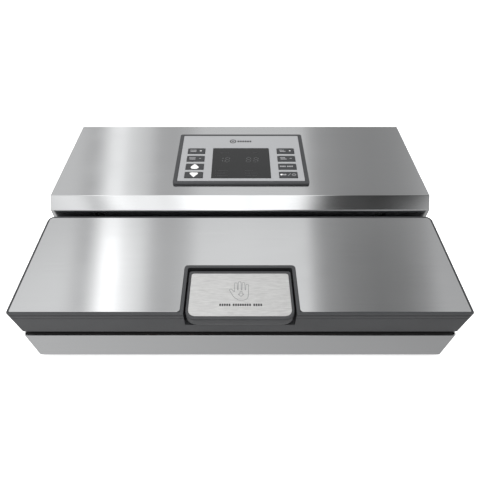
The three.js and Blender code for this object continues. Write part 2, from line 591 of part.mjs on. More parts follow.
// ---- Pump, transformer and main board ---------------------------------------------------
const PUMP = { behind: 70.9, z: 36, split: -122, axisOut: -85 }; // crankcase: split to open end
const MOTOR = { radius: 17, length: 52, gap: 5, boss: 5.7, bossLength: 3 };
const CASE = { side: 40, wall: 8, bore: 15 };
const CRANK_DISC = { radius: 12, thick: 6, pin: 2.5, pinLength: 9, throw: 6, shaft: 2.5, clear: 2 };
const HEAD = { side: 32, height: 15, barb: 3.2, barbLength: 15 };
const SADDLE = { foot: 50, thick: 2, width: 27.2, setIn: 8 }; // bracket under the motor and crankcase
const HOSE_R = 4.2;
const COIL_RADIUS = 4;
const TRANSFORMER = { x: 45, behind: 78.9, width: 66, height: 55, stack: 40, leg: 22, window: 11, yoke: 11 };
const MAIN_BOARD = { x: 150, behind: 66.9, z: 14, width: 80, depth: 92 };
const BLOCKS = [ // components on the main board: middle from the board's, width, depth, height
  { at: [-20, 20], size: [24, 10], height: 26 }, // heat sink
  { at: [22, -26], size: [18, 26], height: 15 }, // relay
  { at: [-24, -34], size: [20, 8], height: 8 }, // connector
];
const CANS = [ // capacitors: middle from the board's, radius, height
  { at: [22, 14], radius: 8, height: 22 },
  { at: [2, -8], radius: 5, height: 14 },
  { at: [-14, -10], radius: 5, height: 14 },
];

const floorTop = FOOT_HEIGHT + SHEET + TOUCH;
const pumpY = rearFront + PUMP.behind; // what stands in the rear housing is placed from its front

function makePump() {
  const axis = [pumpY, PUMP.z];
  const motorEnd = PUMP.split - MOTOR.gap;
  const motorXs = [motorEnd - MOTOR.length, motorEnd];
  const motor = rod("x", MOTOR.radius, motorXs, axis, 28)
    .add(rod("x", MOTOR.boss, [motorXs[0] - MOTOR.bossLength, motorXs[0]], axis, 16));
  part(machine, "pump_motor", motor, ZINC);

  const caseXs = [PUMP.split, PUMP.axisOut];
  const caseTop = PUMP.z + CASE.side / 2;
  const crankcase = block(caseXs, around(pumpY, CASE.side), around(PUMP.z, CASE.side))
    .subtract(rod("x", CASE.bore, [caseXs[0] + CASE.wall, caseXs[1] + OVER], axis, 24))
    .subtract(rod("x", CRANK_DISC.shaft + RUN, grow(caseXs, OVER), axis, 14));
  part(machine, "pump_crankcase", crankcase, BRUSHED_ALUMINIUM);

  const discStart = caseXs[0] + CASE.wall + CRANK_DISC.clear;
  const discEnd = discStart + CRANK_DISC.thick;
  const crank = rod("x", CRANK_DISC.radius, [discStart, discEnd], [0, 0], 24)
    .add(rod("x", CRANK_DISC.shaft, [motorEnd + TOUCH, discStart + ROOT], [0, 0], 14))
    .add(rod("x", CRANK_DISC.pin, [discEnd - ROOT, discEnd + CRANK_DISC.pinLength],
      [0, CRANK_DISC.throw], 12));
  part(machine, "pump_crank", crank, ZINC, [0, ...axis]);

  const headX = (caseXs[0] + caseXs[1]) / 2;
  const headBottom = caseTop + TOUCH;
  const headFront = pumpY - HEAD.side / 2;
  const barbZ = headBottom + HEAD.height / 2;
  const barbEnd = headFront - HEAD.barbLength;
  const headHeights = [headBottom, headBottom + HEAD.height];
  const head = block(around(headX, HEAD.side), around(pumpY, HEAD.side), headHeights)
    .add(rod("y", HEAD.barb, [barbEnd, headFront + ROOT], [headX, barbZ], 12));
  part(machine, "pump_head", head, BLACK_PLASTIC);

  const saddleXs = grow(motorXs, -SADDLE.setIn);
  const footHeights = [floorTop, floorTop + SADDLE.thick];
  const bracket = block([motorXs[0], caseXs[1]], around(pumpY, SADDLE.foot), footHeights)
    .add(block(saddleXs, around(pumpY, SADDLE.width), [floorTop, PUMP.z]))
    .subtract(rod("x", MOTOR.radius + TOUCH, grow(saddleXs, OVER), axis, 28));
  part(machine, "pump_bracket", bracket, ZINC);

  const portEnd = chamberBack + PORT.length + TOUCH;
  const deckEnd = rearFront + DECK_UNDER_HOUSING;
  const clearY = deckEnd + 2 * HOSE_R;
  const route = new THREE.CatmullRomCurve3([
    new THREE.Vector3(PORT.x, portEnd, PORT.z),
    new THREE.Vector3(PORT.x, portEnd + 10, PORT.z),
    new THREE.Vector3(PORT.x, (portEnd + clearY) / 2 + 6, PORT.z + 1),
    new THREE.Vector3((PORT.x + headX) / 2, clearY + 3, PORT.z + 14),
    new THREE.Vector3(headX, clearY + 4, barbZ - 12),
    new THREE.Vector3(headX, (clearY + barbEnd) / 2 + 4, barbZ),
    new THREE.Vector3(headX, barbEnd - TOUCH, barbZ),
  ]);
  const section = new THREE.Shape().absarc(0, 0, HOSE_R, 0, TURN);
  const hose = new THREE.ExtrudeGeometry(section, { steps: 22, extrudePath: route, curveSegments: 4 });
  part(machine, "vacuum_hose", solid(hose), CLEAR_TUBE);
}

function makeTransformer() {
  const { x, behind, width, height, stack, leg, window: gap, yoke } = TRANSFORMER;
  const y = rearFront + behind;
  const z = floorTop + height / 2;
  const windowHeight = height - 2 * yoke;
  let core = block(around(x, width), around(y, stack), around(z, height));
  for (const side of both) {
    const windowX = x + side * (leg / 2 + gap / 2);
    core = core.subtract(block(around(windowX, gap), around(y, stack + OVER), around(z, windowHeight)));
  }
  part(machine, "transformer_core", core, LAMINATION);

  const build = gap - 2 * TOUCH; // thickness of the winding round the middle leg
  const coilHeights = grow([z - windowHeight / 2, z + windowHeight / 2], -TOUCH);
  const coil = frameRing(around(x, leg + 2 * (build + TOUCH)), around(y, stack + 2 * (build + TOUCH)),
    build, COIL_RADIUS, coilHeights);
  part(machine, "transformer_coil", coil, COPPER);
}

function makeMainBoard() {
  const { x, behind, z, width, depth } = MAIN_BOARD;
  const y = rearFront + behind;
  const top = z + PCB;
  let board = block(around(x, width), around(y, depth), [z, top]);
  for (const { at, size, height } of BLOCKS) {
    board = board.add(block(around(x + at[0], size[0]), around(y + at[1], size[1]),
      [top - ROOT, top + height]));
  }
  for (const { at, radius, height } of CANS) {
    board = board.add(rod("z", radius, [top - ROOT, top + height], [x + at[0], y + at[1]], 16));
  }
  part(machine, "main_board", board, BOARD_GREEN);
}

// ---- Lid --------------------------------------------------------------------------------
const LINER_SLOT = { side: 6, front: 26, back: 16 }; // room round a hook in the lid's liner
const LINER_BEHIND_GASKET = 3;
const LINER_RADIUS = 1; // liner's back corners
const HINGE_RIB_GAP = 2; // hinge lug to the lid's rib
const HINGE_NOTCH_ROOM = 1.5; // hinge lug to the cut in the lid's back wall
const LINK_SLOT = { half: 6, low: 1, high: 9 }; // slot in the notch's back wall, about the link
const PRESSURE_STRIP = { width: 8, past: 2 }; // past: how far it runs beyond the bar's ends
const SILL = { sideIn: 10, rise: 4 }; // lip of the skirt inside the handle's hollow front
const RIM_GROOVES = [{ drop: 8, tall: 0.5, deep: 0.5 }, { drop: 3.2, tall: 1, deep: 1.2 }];
const CREST = { drop: 0.8, inset: 0.7 }; // rounding of the rim's top edge
const HOLLOW_RADIUS = 2; // front corners inside the skirt
const NOTCH_CORNERS = [1, 2]; // corners of the handle's notch, front and back
const PIN_END = 0.4; // handle pin to the end of its blind hole

// The levels of one groove round a leaning box, in a wall that stands in by the lean there.
function grooveLevels({ drop, tall, deep }, lean) {
  const middle = LID_HEIGHT - drop;
  return [[middle - tall / 2, lean], [middle - tall / 4, lean + deep],
    [middle + tall / 4, lean + deep], [middle + tall / 2, lean]];
}

function makeLidFrame() {
  const xs = around(0, LID_WIDTH);
  const ys = [lidFront, lidBack];
  const grooves = RIM_GROOVES.flatMap((groove) => grooveLevels(groove,
    (SKIRT_DRAFT * groove.drop) / (LID_HEIGHT - lidHem)));
  const outer = leaningBox(xs, ys, LID_FRONT_RADIUS, LID_BACK_RADIUS, [
    [lidHem, SKIRT_DRAFT + HEM], [lidHem + HEM / 3, SKIRT_DRAFT + HEM / 3], [lidHem + HEM, SKIRT_DRAFT],
    ...grooves, [LID_HEIGHT - CREST.drop, 0], [LID_HEIGHT, CREST.inset]]);
  const wall = LID_WALL + SKIRT_DRAFT;
  const hollow = slab(roundedOutline(grow(xs, -wall), grow(ys, -wall), HOLLOW_RADIUS,
    LID_BACK_RADIUS - LID_WALL), [lidHem - OVER, lidCeiling]);
  const pocket = slab(roundedOutline(grow(xs, -LID_RIM), grow(ys, -LID_RIM),
    LID_FRONT_RADIUS - LID_RIM, LID_BACK_RADIUS - LID_RIM), [lidPocket, LID_HEIGHT + OVER]);
  const surroundXs = grow([-notchHalf, notchHalf], NOTCH_WALL + TOUCH);
  const surroundBack = notchBack + NOTCH_WALL + TOUCH;
  const surround = slab(roundedOutline(surroundXs, [lidFront + LID_WALL / 2, surroundBack],
    TIGHT_RADIUS, NOTCH_RADIUS), [notchFloor - NOTCH_WALL, LID_HEIGHT]);
  const notch = slab(roundedOutline([-notchHalf, notchHalf], [handleFront - OVER, notchBack],
    ...NOTCH_CORNERS), [notchFloor, LID_HEIGHT + OVER]);

  const sill = block(grow(around(0, HANDLE_WIDTH), -SILL.sideIn), [lidFront, lidFront + LID_WALL],
    [notchFloor - ROOT, LID_HEIGHT - HANDLE_HEIGHT + SILL.rise]);

  let frame = outer.subtract(hollow).subtract(pocket).add(surround).subtract(notch).add(sill);
  const linkAtWall = (earPin[1] + crankPin[1]) / 2;
  frame = frame.subtract(block(around(0, 2 * LINK_SLOT.half), [notchBack - OVER, surroundBack + OVER],
    [linkAtWall - LINK_SLOT.low - LINK_HALF, linkAtWall + LINK_SLOT.high]));
  for (const side of both) {
    const ribX = around(side * SHAFT_RIB_X, RIB);
    frame = frame.add(block(ribX, around(shaft[0], 4 * SHAFT_R), [shaft[1] - 2 * SHAFT_R, lidCeiling + ROOT]))
      .subtract(rod("x", SHAFT_R + RUN, grow(ribX, OVER), shaft));
    for (const inner of both) {
      const lugFace = side * HINGE_X + inner * (HINGE_LUG_WIDTH / 2 + HINGE_RIB_GAP + RIB / 2);
      frame = frame.add(block(around(lugFace, RIB), [hinge[0] - 2 * HINGE_LUG_R, lidBack - LID_WALL],
        [hinge[1] - HINGE_DROP, lidCeiling + ROOT]));
    }
    const cutXs = around(side * HINGE_X, HINGE_LUG_WIDTH + 2 * HINGE_NOTCH_ROOM);
    frame = frame.subtract(block(cutXs, [lidBack - wall - OVER, lidBack + OVER], [lidHem - OVER, lidCeiling]))
      .subtract(rod("x", HINGE_PIN_R + RUN, around(side * HINGE_X, 2 * (HINGE_LUG_WIDTH + OVER)), hinge));
  }
  frame = frame.subtract(rod("x", HANDLE_PIN_R + RUN,
    grow([-notchHalf, notchHalf], HANDLE_PIN_BITE + PIN_END), handlePivot, 14));
  part(lid, "lid_frame", frame, DARK_PLASTIC);
}

function makeLidPlate() {
  const edge = LID_RIM + TOUCH;
  const bottom = lidPocket + TOUCH;
  const heights = [bottom, bottom + LID_PLATE];
  const cut = notchHalf + NOTCH_WALL + 2 * TOUCH;
  const front = lidFront + edge;
  let plate = slab(roundedOutline(grow([-LID_WIDTH / 2, LID_WIDTH / 2], -edge),
    [front, lidBack - edge], LID_FRONT_RADIUS - LID_RIM, LID_BACK_RADIUS - edge), heights)
    .subtract(slab(roundedOutline([-cut, cut], [front - 2 * OVER, notchBack + NOTCH_WALL + 2 * TOUCH],
      TIGHT_RADIUS, NOTCH_RADIUS + TOUCH), grow(heights, OVER)));
  for (const side of both) {
    const centre = [side * (cut + NOTCH_RADIUS), front + NOTCH_RADIUS];
    const cornerXs = around(centre[0] - (side * NOTCH_RADIUS) / 2, NOTCH_RADIUS);
    const corner = block(cornerXs, [front - OVER, centre[1]], grow(heights, OVER))
      .subtract(rod("z", NOTCH_RADIUS, grow(heights, 2 * OVER), centre));
    plate = plate.subtract(corner);
  }
  part(lid, "lid_plate", plate, STEEL);
}

function makeLidUnderside() {
  const wall = LID_WALL + SKIRT_DRAFT + TOUCH;
  const linerBack = chamberBack + GASKET_MARGIN + GASKET_WIDTH + LINER_BEHIND_GASKET;
  const heights = [LINER_BOTTOM, LINER_BOTTOM + LINER];
  let liner = slab(roundedOutline(grow([-LID_WIDTH / 2, LID_WIDTH / 2], -wall),
    [lidFront + wall, linerBack], HOLLOW_RADIUS, LINER_RADIUS), heights);
  for (const side of both) {
    liner = liner.subtract(block(around(side * HOOK_X, HOOK_THICK + 2 * LINER_SLOT.side),
      [shaft[0] - LINER_SLOT.front, shaft[0] + LINER_SLOT.back], grow(heights, OVER)));
  }
  part(lid, "lid_liner", liner, BLACK_PLASTIC);

  const gasket = frameRing(grow(chamberXs, GASKET_MARGIN + GASKET_WIDTH),
    grow(chamberYs, GASKET_MARGIN + GASKET_WIDTH), GASKET_WIDTH, GASKET_RADIUS,
    [GASKET_SPLIT + TOUCH / 2, LINER_BOTTOM - TOUCH]);
  part(lid, "lid_gasket", gasket, FOAM);
  const stripBottom = SEAL_TOP + 2 * TOUCH + STRIP_THICK;
  part(lid, "pressure_strip", block(grow([-SEAL_HALF, SEAL_HALF], PRESSURE_STRIP.past),
    around(sealY, PRESSURE_STRIP.width),
    [stripBottom, LINER_BOTTOM - TOUCH]), SILICONE);
  const pin = rod("x", HINGE_PIN_R, around(0, 2 * HINGE_LUG_WIDTH), [0, 0]);
  part(lid, "hinge_pin_left", pin, ZINC, [-HINGE_X, ...hinge]);
  part(lid, "hinge_pin_right", pin, ZINC, [HINGE_X, ...hinge]);
}

// ---- Press handle and latch -------------------------------------------------------------
const LINK_CUT_BELOW_PIN = 1.2; // top of the handle's cut over the link, under the handle pin
const LINK_CUT_SIDE = 1; // handle's ears to the sides of that cut
const HANDLE_LIP = [[0, 2.6], [0.8, 1.2], [3, 0.3], [5, 0]]; // rounded lower edge: [height, inset]
const HANDLE_GROOVE = { drop: 2.1, tall: 0.8, deep: 0.8 };
const HANDLE_EDGE = { drop: 0.7, inset: 0.6 }; // rounding of the handle's top edge
const HANDLE_SIDE = HANDLE_WALL + 1; // handle's wall, measured under its rounded lower edge
const LINK_SWELL = 0.4; // how much the link's ends stand past its pins' studs

function makeHandle() {
  const xs = around(0, HANDLE_WIDTH);
  const ys = [handleFront, handleBack];
  const low = LID_HEIGHT - HANDLE_HEIGHT;
  const plateFloor = LID_HEIGHT - HANDLE_PLATE - TOUCH;
  const ceiling = plateFloor - HANDLE_WALL;
  const ear = EAR[1] - EAR[0];
  let body = leaningBox(xs, ys, HANDLE_FRONT_RADIUS, HANDLE_BACK_RADIUS, [
    ...HANDLE_LIP.map(([rise, inset]) => [low + rise, inset]),
    ...grooveLevels(HANDLE_GROOVE, 0), [LID_HEIGHT - HANDLE_EDGE.drop, 0], [LID_HEIGHT, HANDLE_EDGE.inset]])
    .subtract(slab(roundedOutline(grow(xs, -HANDLE_SIDE), grow(ys, -HANDLE_SIDE),
      HANDLE_FRONT_RADIUS - HANDLE_WALL, TIGHT_RADIUS), [low - OVER, ceiling]))
    .subtract(slab(roundedOutline(grow(xs, -HANDLE_RIM),
      [handleFront + HANDLE_RIM, handleBack - HANDLE_REAR_RIM],
      HANDLE_FRONT_RADIUS - HANDLE_RIM, HANDLE_BACK_RADIUS), [plateFloor, LID_HEIGHT + OVER]));
  for (const side of both) {
    body = body.add(block(around(side * (EAR[0] + ear / 2), ear), around(handlePivot[0], 4 * STUD_R),
      [earPin[1] - STUD_R - STUD_WALL, ceiling + ROOT]));
  }
  body = body.subtract(block(around(0, 2 * (EAR[0] + LINK_CUT_SIDE)),
    [handleBack - 2 * HANDLE_WALL, handleBack + OVER], [low - OVER, handlePivot[1] - LINK_CUT_BELOW_PIN]))
    .subtract(rod("x", HANDLE_PIN_R + RUN, grow(xs, OVER), handlePivot, 14))
    .subtract(rod("x", STUD_R + RUN, [-EAR[1] - OVER, EAR[1] + OVER], earPin, 14));
  part(handle, "handle_body", body, DARK_PLASTIC);

  const inset = HANDLE_RIM + TOUCH;
  const plate = slab(roundedOutline(grow(xs, -inset),
    [handleFront + inset, handleBack - HANDLE_REAR_RIM - TOUCH],
    HANDLE_FRONT_RADIUS - inset, HANDLE_BACK_RADIUS - TOUCH), [plateFloor + TOUCH, LID_HEIGHT]);
  part(handle, "handle_plate", plate, BRUSHED_ALUMINIUM);
  part(lid, "handle_pin", rod("x", HANDLE_PIN_R, grow([-notchHalf, notchHalf], HANDLE_PIN_BITE),
    handlePivot, 14), BLACK_PLASTIC);
}

function makeLatch() {
  const link = prism(barOutline(earPin, crankPin, LINK_HALF + LINK_SWELL), [TOUCH - EAR[0], EAR[0] - TOUCH])
    .add(rod("x", STUD_R, [-EAR[1], EAR[1]], earPin, 14))
    .add(rod("x", STUD_R, [-EAR[1], EAR[1]], crankPin, 14));
  part(lid, "latch_link", link, ZINC);

  let bar = rod("x", SHAFT_R, grow([-HOOK_X, HOOK_X], HOOK_THICK), shaft);
  for (const side of both) {
    const xs = side > 0 ? EAR : [-EAR[1], -EAR[0]];
    bar = bar.add(prism(barOutline(crankPin, shaft, STUD_R + RUN + STUD_WALL), xs))
      .subtract(rod("x", STUD_R + RUN, grow(xs, OVER), crankPin, 14));
  }
  part(lid, "latch_shaft", bar, ZINC);

  const armYs = around(shaft[0], HOOK_ARM);
  const faces = around(0, HOOK_THICK);
  const hook = block(faces, armYs, [hookTip, shaft[1]])
    .add(rod("x", HOOK_HUB_R, faces, shaft))
    .add(block(faces, [armYs[0], noseBack], [hookTip, hookTip + HOOK_NOSE[1]]))
    .subtract(rod("x", SHAFT_R + TOUCH, grow(faces, OVER), shaft));
  part(lid, "latch_hook_left", hook, ZINC, [-HOOK_X, 0, 0]);
  part(lid, "latch_hook_right", hook, ZINC, [HOOK_X, 0, 0]);
}

makeBase();
makeDeck();
makeHingeBrackets();
makeCover();
makeBackPanel();
makeInlet();
makeRocker();
makeFan();
makePanel();
makePump();
makeTransformer();
makeMainBoard();
makeLidFrame();
makeLidPlate();
makeLidUnderside();
makeHandle();
makeLatch();

export default machine;
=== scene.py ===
"""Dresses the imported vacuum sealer: softened edges, real finishes, printed marks and a studio.

Lengths are in metres unless a name ends in _mm.
"""
import json
import math

import bmesh
import bpy
import numpy as np
from bpy.props import FloatProperty, FloatVectorProperty, IntProperty, PointerProperty
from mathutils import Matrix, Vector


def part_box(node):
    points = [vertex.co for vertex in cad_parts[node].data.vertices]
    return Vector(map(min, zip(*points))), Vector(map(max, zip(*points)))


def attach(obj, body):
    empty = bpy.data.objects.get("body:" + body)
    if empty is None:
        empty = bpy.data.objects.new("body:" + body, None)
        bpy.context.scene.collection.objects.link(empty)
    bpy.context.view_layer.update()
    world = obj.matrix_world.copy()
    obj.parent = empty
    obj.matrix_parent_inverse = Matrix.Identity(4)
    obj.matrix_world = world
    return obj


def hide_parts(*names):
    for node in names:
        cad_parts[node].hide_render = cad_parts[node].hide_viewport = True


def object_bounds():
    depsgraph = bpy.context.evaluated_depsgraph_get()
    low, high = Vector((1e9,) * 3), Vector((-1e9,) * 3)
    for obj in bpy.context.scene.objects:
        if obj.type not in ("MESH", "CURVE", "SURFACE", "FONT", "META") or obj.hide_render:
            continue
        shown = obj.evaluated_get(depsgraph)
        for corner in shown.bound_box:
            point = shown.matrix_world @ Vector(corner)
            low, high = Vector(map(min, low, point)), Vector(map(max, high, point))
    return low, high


bl_info = {
    "name": "Vacuum Sealer Dressing",
    "version": (1, 0, 0),
    "blender": (4, 5, 0),
    "location": "View3D > Sidebar > Sealer",
    "description": "Edges, finishes, printed marks and studio for a vacuum sealer",
    "category": "Object",
}

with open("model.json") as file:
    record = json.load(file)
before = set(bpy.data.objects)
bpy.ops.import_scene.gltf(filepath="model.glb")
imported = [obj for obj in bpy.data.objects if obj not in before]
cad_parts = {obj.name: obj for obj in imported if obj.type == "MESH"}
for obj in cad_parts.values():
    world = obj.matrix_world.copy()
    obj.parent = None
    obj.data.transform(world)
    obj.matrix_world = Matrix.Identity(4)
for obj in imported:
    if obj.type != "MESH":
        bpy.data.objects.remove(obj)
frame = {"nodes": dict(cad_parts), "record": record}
CAD_BOX = [list(corner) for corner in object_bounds()]

MM = 0.001
TURN = 2 * math.pi
MERGE = 0.02 * MM              # vertices closer than this are one
FLAT = math.radians(0.5)       # faces that meet flatter than this are joined
HARD = math.radians(32)        # edges sharper than this are rounded
PRINT_MERGE = 1e-7             # the same for the finer outlines of a print

# In millimetres:
FOOT_LIP, FOOT_BORE = 1.2, 3.6 # a foot's rounded bottom edge, and the radius of the recess under it
FOOT_RIB, FOOT_RECESS = 0.35, 2.6  # depth of half a rib, and of the recess
BACK_SCREW = (7, 5)            # the back panel's screws, in from its edges
UNDER_SCREW = 10               # the bottom plate's screws, in from its edges
TAPE_MARGIN = (0.5, 0.3)       # the release tape, in from the seal bar's edges
TAPE_CLOTH = 0.12              # its thickness
TAPE_HOVER = 0.15              # its middle above the bar
TAPE_STEP = 1.0                # how wide it rises beside the strip
HAND_LINE = 0.42               # stroke of the open hand
SYMBOL_LINE, SIGN_LINE = 0.75, 0.5  # strokes of plus and minus, and of the ring and the slash
SEGMENT_LINE, SEGMENT_GAP = 0.9, 0.7  # stroke of a numeral's bar, and the space at its ends
NUMERAL = (0.9, 4.8, 8.6)      # the numerals' baseline, width and height
LEGEND_ROWS = (-15, 4.2, 1.6)  # the lower legends' first row, pitch and height
SLOT_OF = {row["node"]: row["material_slot"] for row in frame["record"]["subparts"]}
BODY_OF = {node: body for body, nodes in frame["record"]["behaviour"]["bodies"].items() for node in nodes}


def linear(hex_text):
    """An sRGB hex colour as linear red, green and blue."""
    values = [int(hex_text[i:i + 2], 16) / 255 for i in (0, 2, 4)]
    return [v / 12.92 if v <= 0.04045 else ((v + 0.055) / 1.055) ** 2.4 for v in values]


def shaded(colour, factor):
    """A colour made darker or lighter by one factor."""
    return [channel * factor for channel in colour]


# ---- Settings a user would change ----
class SealerStageSettings(bpy.types.PropertyGroup):
    camera_height: FloatProperty(
        name="Camera height", description="Camera above the floor", default=0.37196, unit="LENGTH")
    camera_back: FloatProperty(
        name="Camera distance", description="Camera in front of the object's middle",
        default=0.30876, unit="LENGTH")
    camera_down: FloatProperty(
        name="Camera pitch", description="How far the camera looks down",
        default=math.radians(48.05), subtype="ANGLE")
    lens: FloatProperty(name="Lens", description="Focal length in mm on a 36 mm sensor", default=29.63)
    floor_size: FloatProperty(
        name="Floor size", description="Side of the square floor", default=12.0, unit="LENGTH")
    floor_tone: FloatVectorProperty(
        name="Floor tone", description="The pale light table", subtype="COLOR", default=linear("f4f4f4"))
    floor_glow: FloatProperty(
        name="Floor glow", description="Light of the table from below", default=0.5, min=0)
    tent_light: FloatProperty(
        name="Tent light", description="Brightness of the light tent round the object", default=1.0)
    overhead_power: FloatProperty(
        name="Overhead power", description="Watts of the soft box above", default=22.0)
    mirrored_left: FloatVectorProperty(
        name="Mirrored floor, left", description="The floor as steel mirrors it", subtype="COLOR",
        default=linear("d3d3d3"))
    mirrored_right: FloatVectorProperty(
        name="Mirrored floor, right", description="The floor as steel mirrors it", subtype="COLOR",
        default=linear("b2b2b2"))


class SealerEdgeSettings(bpy.types.PropertyGroup):
    sheet_fold: FloatProperty(
        name="Sheet fold", description="Outer radius of a folded steel edge", default=0.7 * MM, unit="LENGTH")
    moulded: FloatProperty(
        name="Moulded edge", description="Radius on moulded plastic edges", default=0.45 * MM, unit="LENGTH")
    plate: FloatProperty(
        name="Plate edge", description="Rolled edge of thin metal plates", default=0.25 * MM, unit="LENGTH")
    foam: FloatProperty(
        name="Foam edge", description="Radius of a foam gasket", default=1.2 * MM, unit="LENGTH")
    key: FloatProperty(
        name="Key edge", description="Radius round a key cap", default=0.35 * MM, unit="LENGTH")
    steps: IntProperty(
        name="Edge steps", description="Faces across a softened edge", default=3, min=1, max=6)


class SealerFinishSettings(bpy.types.PropertyGroup):
    steel: FloatVectorProperty(
        name="Stainless", description="Satin stainless sheet", subtype="COLOR", default=linear("cfd0d1"))
    steel_roughness: FloatProperty(
        name="Stainless roughness", description="Blur of the steel's reflections", default=0.12, min=0, max=1)
    steel_grain: FloatProperty(
        name="Stainless anisotropy", description="How far the grain smears reflections", default=0.8,
        min=0, max=1)
    dark_plastic: FloatVectorProperty(
        name="Dark plastic", description="Lid frame, handle and panel frame", subtype="COLOR",
        default=linear("343537"))
    aluminium: FloatVectorProperty(
        name="Aluminium", description="Press plate on the handle", subtype="COLOR", default=linear("dcdcdb"))
    overlay: FloatVectorProperty(
        name="Panel overlay", description="Silver printed film of the control panel", subtype="COLOR",
        default=linear("a3a4a6"))
    key: FloatVectorProperty(
        name="Key", description="Charcoal keys", subtype="COLOR", default=linear("303133"))
    window: FloatVectorProperty(
        name="Window", description="Smoked display window", subtype="COLOR", default=linear("161718"))


# ---- Node helpers ----
def add(tree, kind, inputs=None, stops=(), **settings):
    """Adds a node and returns its outputs. An input takes a value, or another node's output."""
    node = tree.nodes.new(kind)
    for key, value in settings.items():
        setattr(node, key, value)
    for key, value in (inputs or {}).items():
        socket = node.inputs[key]
        if isinstance(value, bpy.types.NodeSocket):
            tree.links.new(value, socket)
        elif socket.type == "RGBA":
            socket.default_value = (*value, 1.0)
        else:
            socket.default_value = value
    for index, (position, colour) in enumerate(stops):
        elements = node.color_ramp.elements
        stop = elements[index] if index < 2 else elements.new(position)
        stop.position = position
        stop.color = (*colour, 1.0)
    return node.outputs


def per_mm(*sizes_mm):
    """The mapping scale at which one unit of a pattern measures these sizes along X, Y and Z, or
    one size along all three."""
    return [1 / (size * MM) for size in (sizes_mm * 3)[:3]]


def finish_of(name, recipe, *values):
    """A material: recipe(tree, place, ...) answers with the Principled shader's sockets."""
    material = bpy.data.materials.new(name)
    material.use_nodes = True
    tree = material.node_tree
    tree.nodes.clear()
    place = add(tree, "ShaderNodeTexCoord")["Object"]
    shader = add(tree, "ShaderNodeBsdfPrincipled", recipe(tree, place, *values))["BSDF"]
    add(tree, "ShaderNodeOutputMaterial", {"Surface": shader})
    return material


# ---- Mesh helpers ----
def mesh_object(name, points, faces):
    """A smooth mesh object from an array of points and an array of faces."""
    mesh = bpy.data.meshes.new(name)
    mesh.from_pydata(np.asarray(points, float).reshape(-1, 3).tolist(), [], np.asarray(faces).tolist())
    mesh.polygons.foreach_set("use_smooth", np.ones(len(mesh.polygons), bool))
    mesh.update()
    thing = bpy.data.objects.new(name, mesh)
    bpy.context.scene.collection.objects.link(thing)
    return thing


def grid_faces(rows, columns, close_rows=False, close_columns=False, start=0):
    """Quads of a grid of points, with either direction closed on itself if asked."""
    r = np.arange(rows if close_rows else rows - 1)
    c = np.arange(columns if close_columns else columns - 1)
    r, c = [a.ravel() for a in np.meshgrid(r, c, indexing="ij")]
    r2, c2 = (r + 1) % rows, (c + 1) % columns
    corners = [r * columns + c, r * columns + c2, r2 * columns + c2, r2 * columns + c]
    return np.stack(corners, 1) + start


def outward(thing):
    """Merges doubles and turns every face outwards."""
    shape = bmesh.new()
    shape.from_mesh(thing.data)
    bmesh.ops.remove_doubles(shape, verts=shape.verts, dist=1e-6)
    bmesh.ops.recalc_face_normals(shape, faces=shape.faces)
    shape.to_mesh(thing.data)
    shape.free()
    return thing


def dress(thing, body, slot, material=None):
    """Gives a finished piece its body and its material: the ink if one is given, else the finish of its
    record slot.
    """
    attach(thing, body)
    thing.data.materials.clear()
    thing.data.materials.append(FINISH[material or slot])
    return thing


# ---- Finishes, one recipe each ----
# Grain too fine to show from the camera is drawn as coarse as it needs to be to show.
def satin_stainless(tree, place, settings):
    """304 stainless sheet, belt-brushed along X: a mirror that smears across its grain."""
    along = add(tree, "ShaderNodeMapping", {"Vector": place, "Scale": per_mm(70, 0.7, 0.7)})["Vector"]
    lines = add(tree, "ShaderNodeTexNoise", {"Vector": along, "Scale": 1.0, "Detail": 3.0})["Fac"]
    wide = add(tree, "ShaderNodeMapping", {"Vector": place, "Scale": per_mm(60, 30, 30)})["Vector"]
    clouds = add(tree, "ShaderNodeTexNoise", {"Vector": wide, "Scale": 1.0, "Detail": 2.0})["Fac"]
    colour = add(tree, "ShaderNodeValToRGB", {"Fac": lines},
                 [(0.3, shaded(settings.steel, 0.972)), (0.7, list(settings.steel))])["Color"]
    rough = settings.steel_roughness
    blur = add(tree, "ShaderNodeMapRange", {"Value": clouds, "From Min": 0.3, "From Max": 0.7,
                                            "To Min": rough * 0.85, "To Max": rough * 1.2})["Result"]
    # The reflections stretch at right angles to the grain, which runs along X on every sheet.
    grain = add(tree, "ShaderNodeCombineXYZ", {"X": 1.0})["Vector"]
    scratches = add(tree, "ShaderNodeBump", {"Height": lines, "Distance": 0.003 * MM})["Normal"]
    return {"Base Color": colour, "Roughness": blur, "Metallic": 1.0, "Normal": scratches,
            "Anisotropic": settings.steel_grain, "Anisotropic Rotation": 0.25, "Tangent": grain}


def moulded_abs(tree, place, colour, roughness, texture_mm):
    """Injection-moulded ABS from a spark-eroded mould: a soft, slightly uneven sheen."""
    fine = add(tree, "ShaderNodeMapping", {"Vector": place, "Scale": per_mm(texture_mm)})["Vector"]
    pits = add(tree, "ShaderNodeTexNoise", {"Vector": fine, "Scale": 1.0, "Detail": 2.0})["Fac"]
    wide = add(tree, "ShaderNodeMapping", {"Vector": place, "Scale": per_mm(45)})["Vector"]
    clouds = add(tree, "ShaderNodeTexNoise", {"Vector": wide, "Scale": 1.0, "Detail": 2.0})["Fac"]
    tint = add(tree, "ShaderNodeValToRGB", {"Fac": clouds},
               [(0.25, shaded(colour, 0.9)), (0.75, shaded(colour, 1.08))])["Color"]
    sheen = add(tree, "ShaderNodeMapRange", {"Value": pits, "From Min": 0.3, "From Max": 0.7,
                                             "To Min": roughness - 0.05,
                                             "To Max": roughness + 0.07})["Result"]
    texture = add(tree, "ShaderNodeBump", {"Height": pits, "Distance": 0.012 * MM})["Normal"]
    return {"Base Color": tint, "Roughness": sheen, "IOR": 1.53, "Normal": texture}


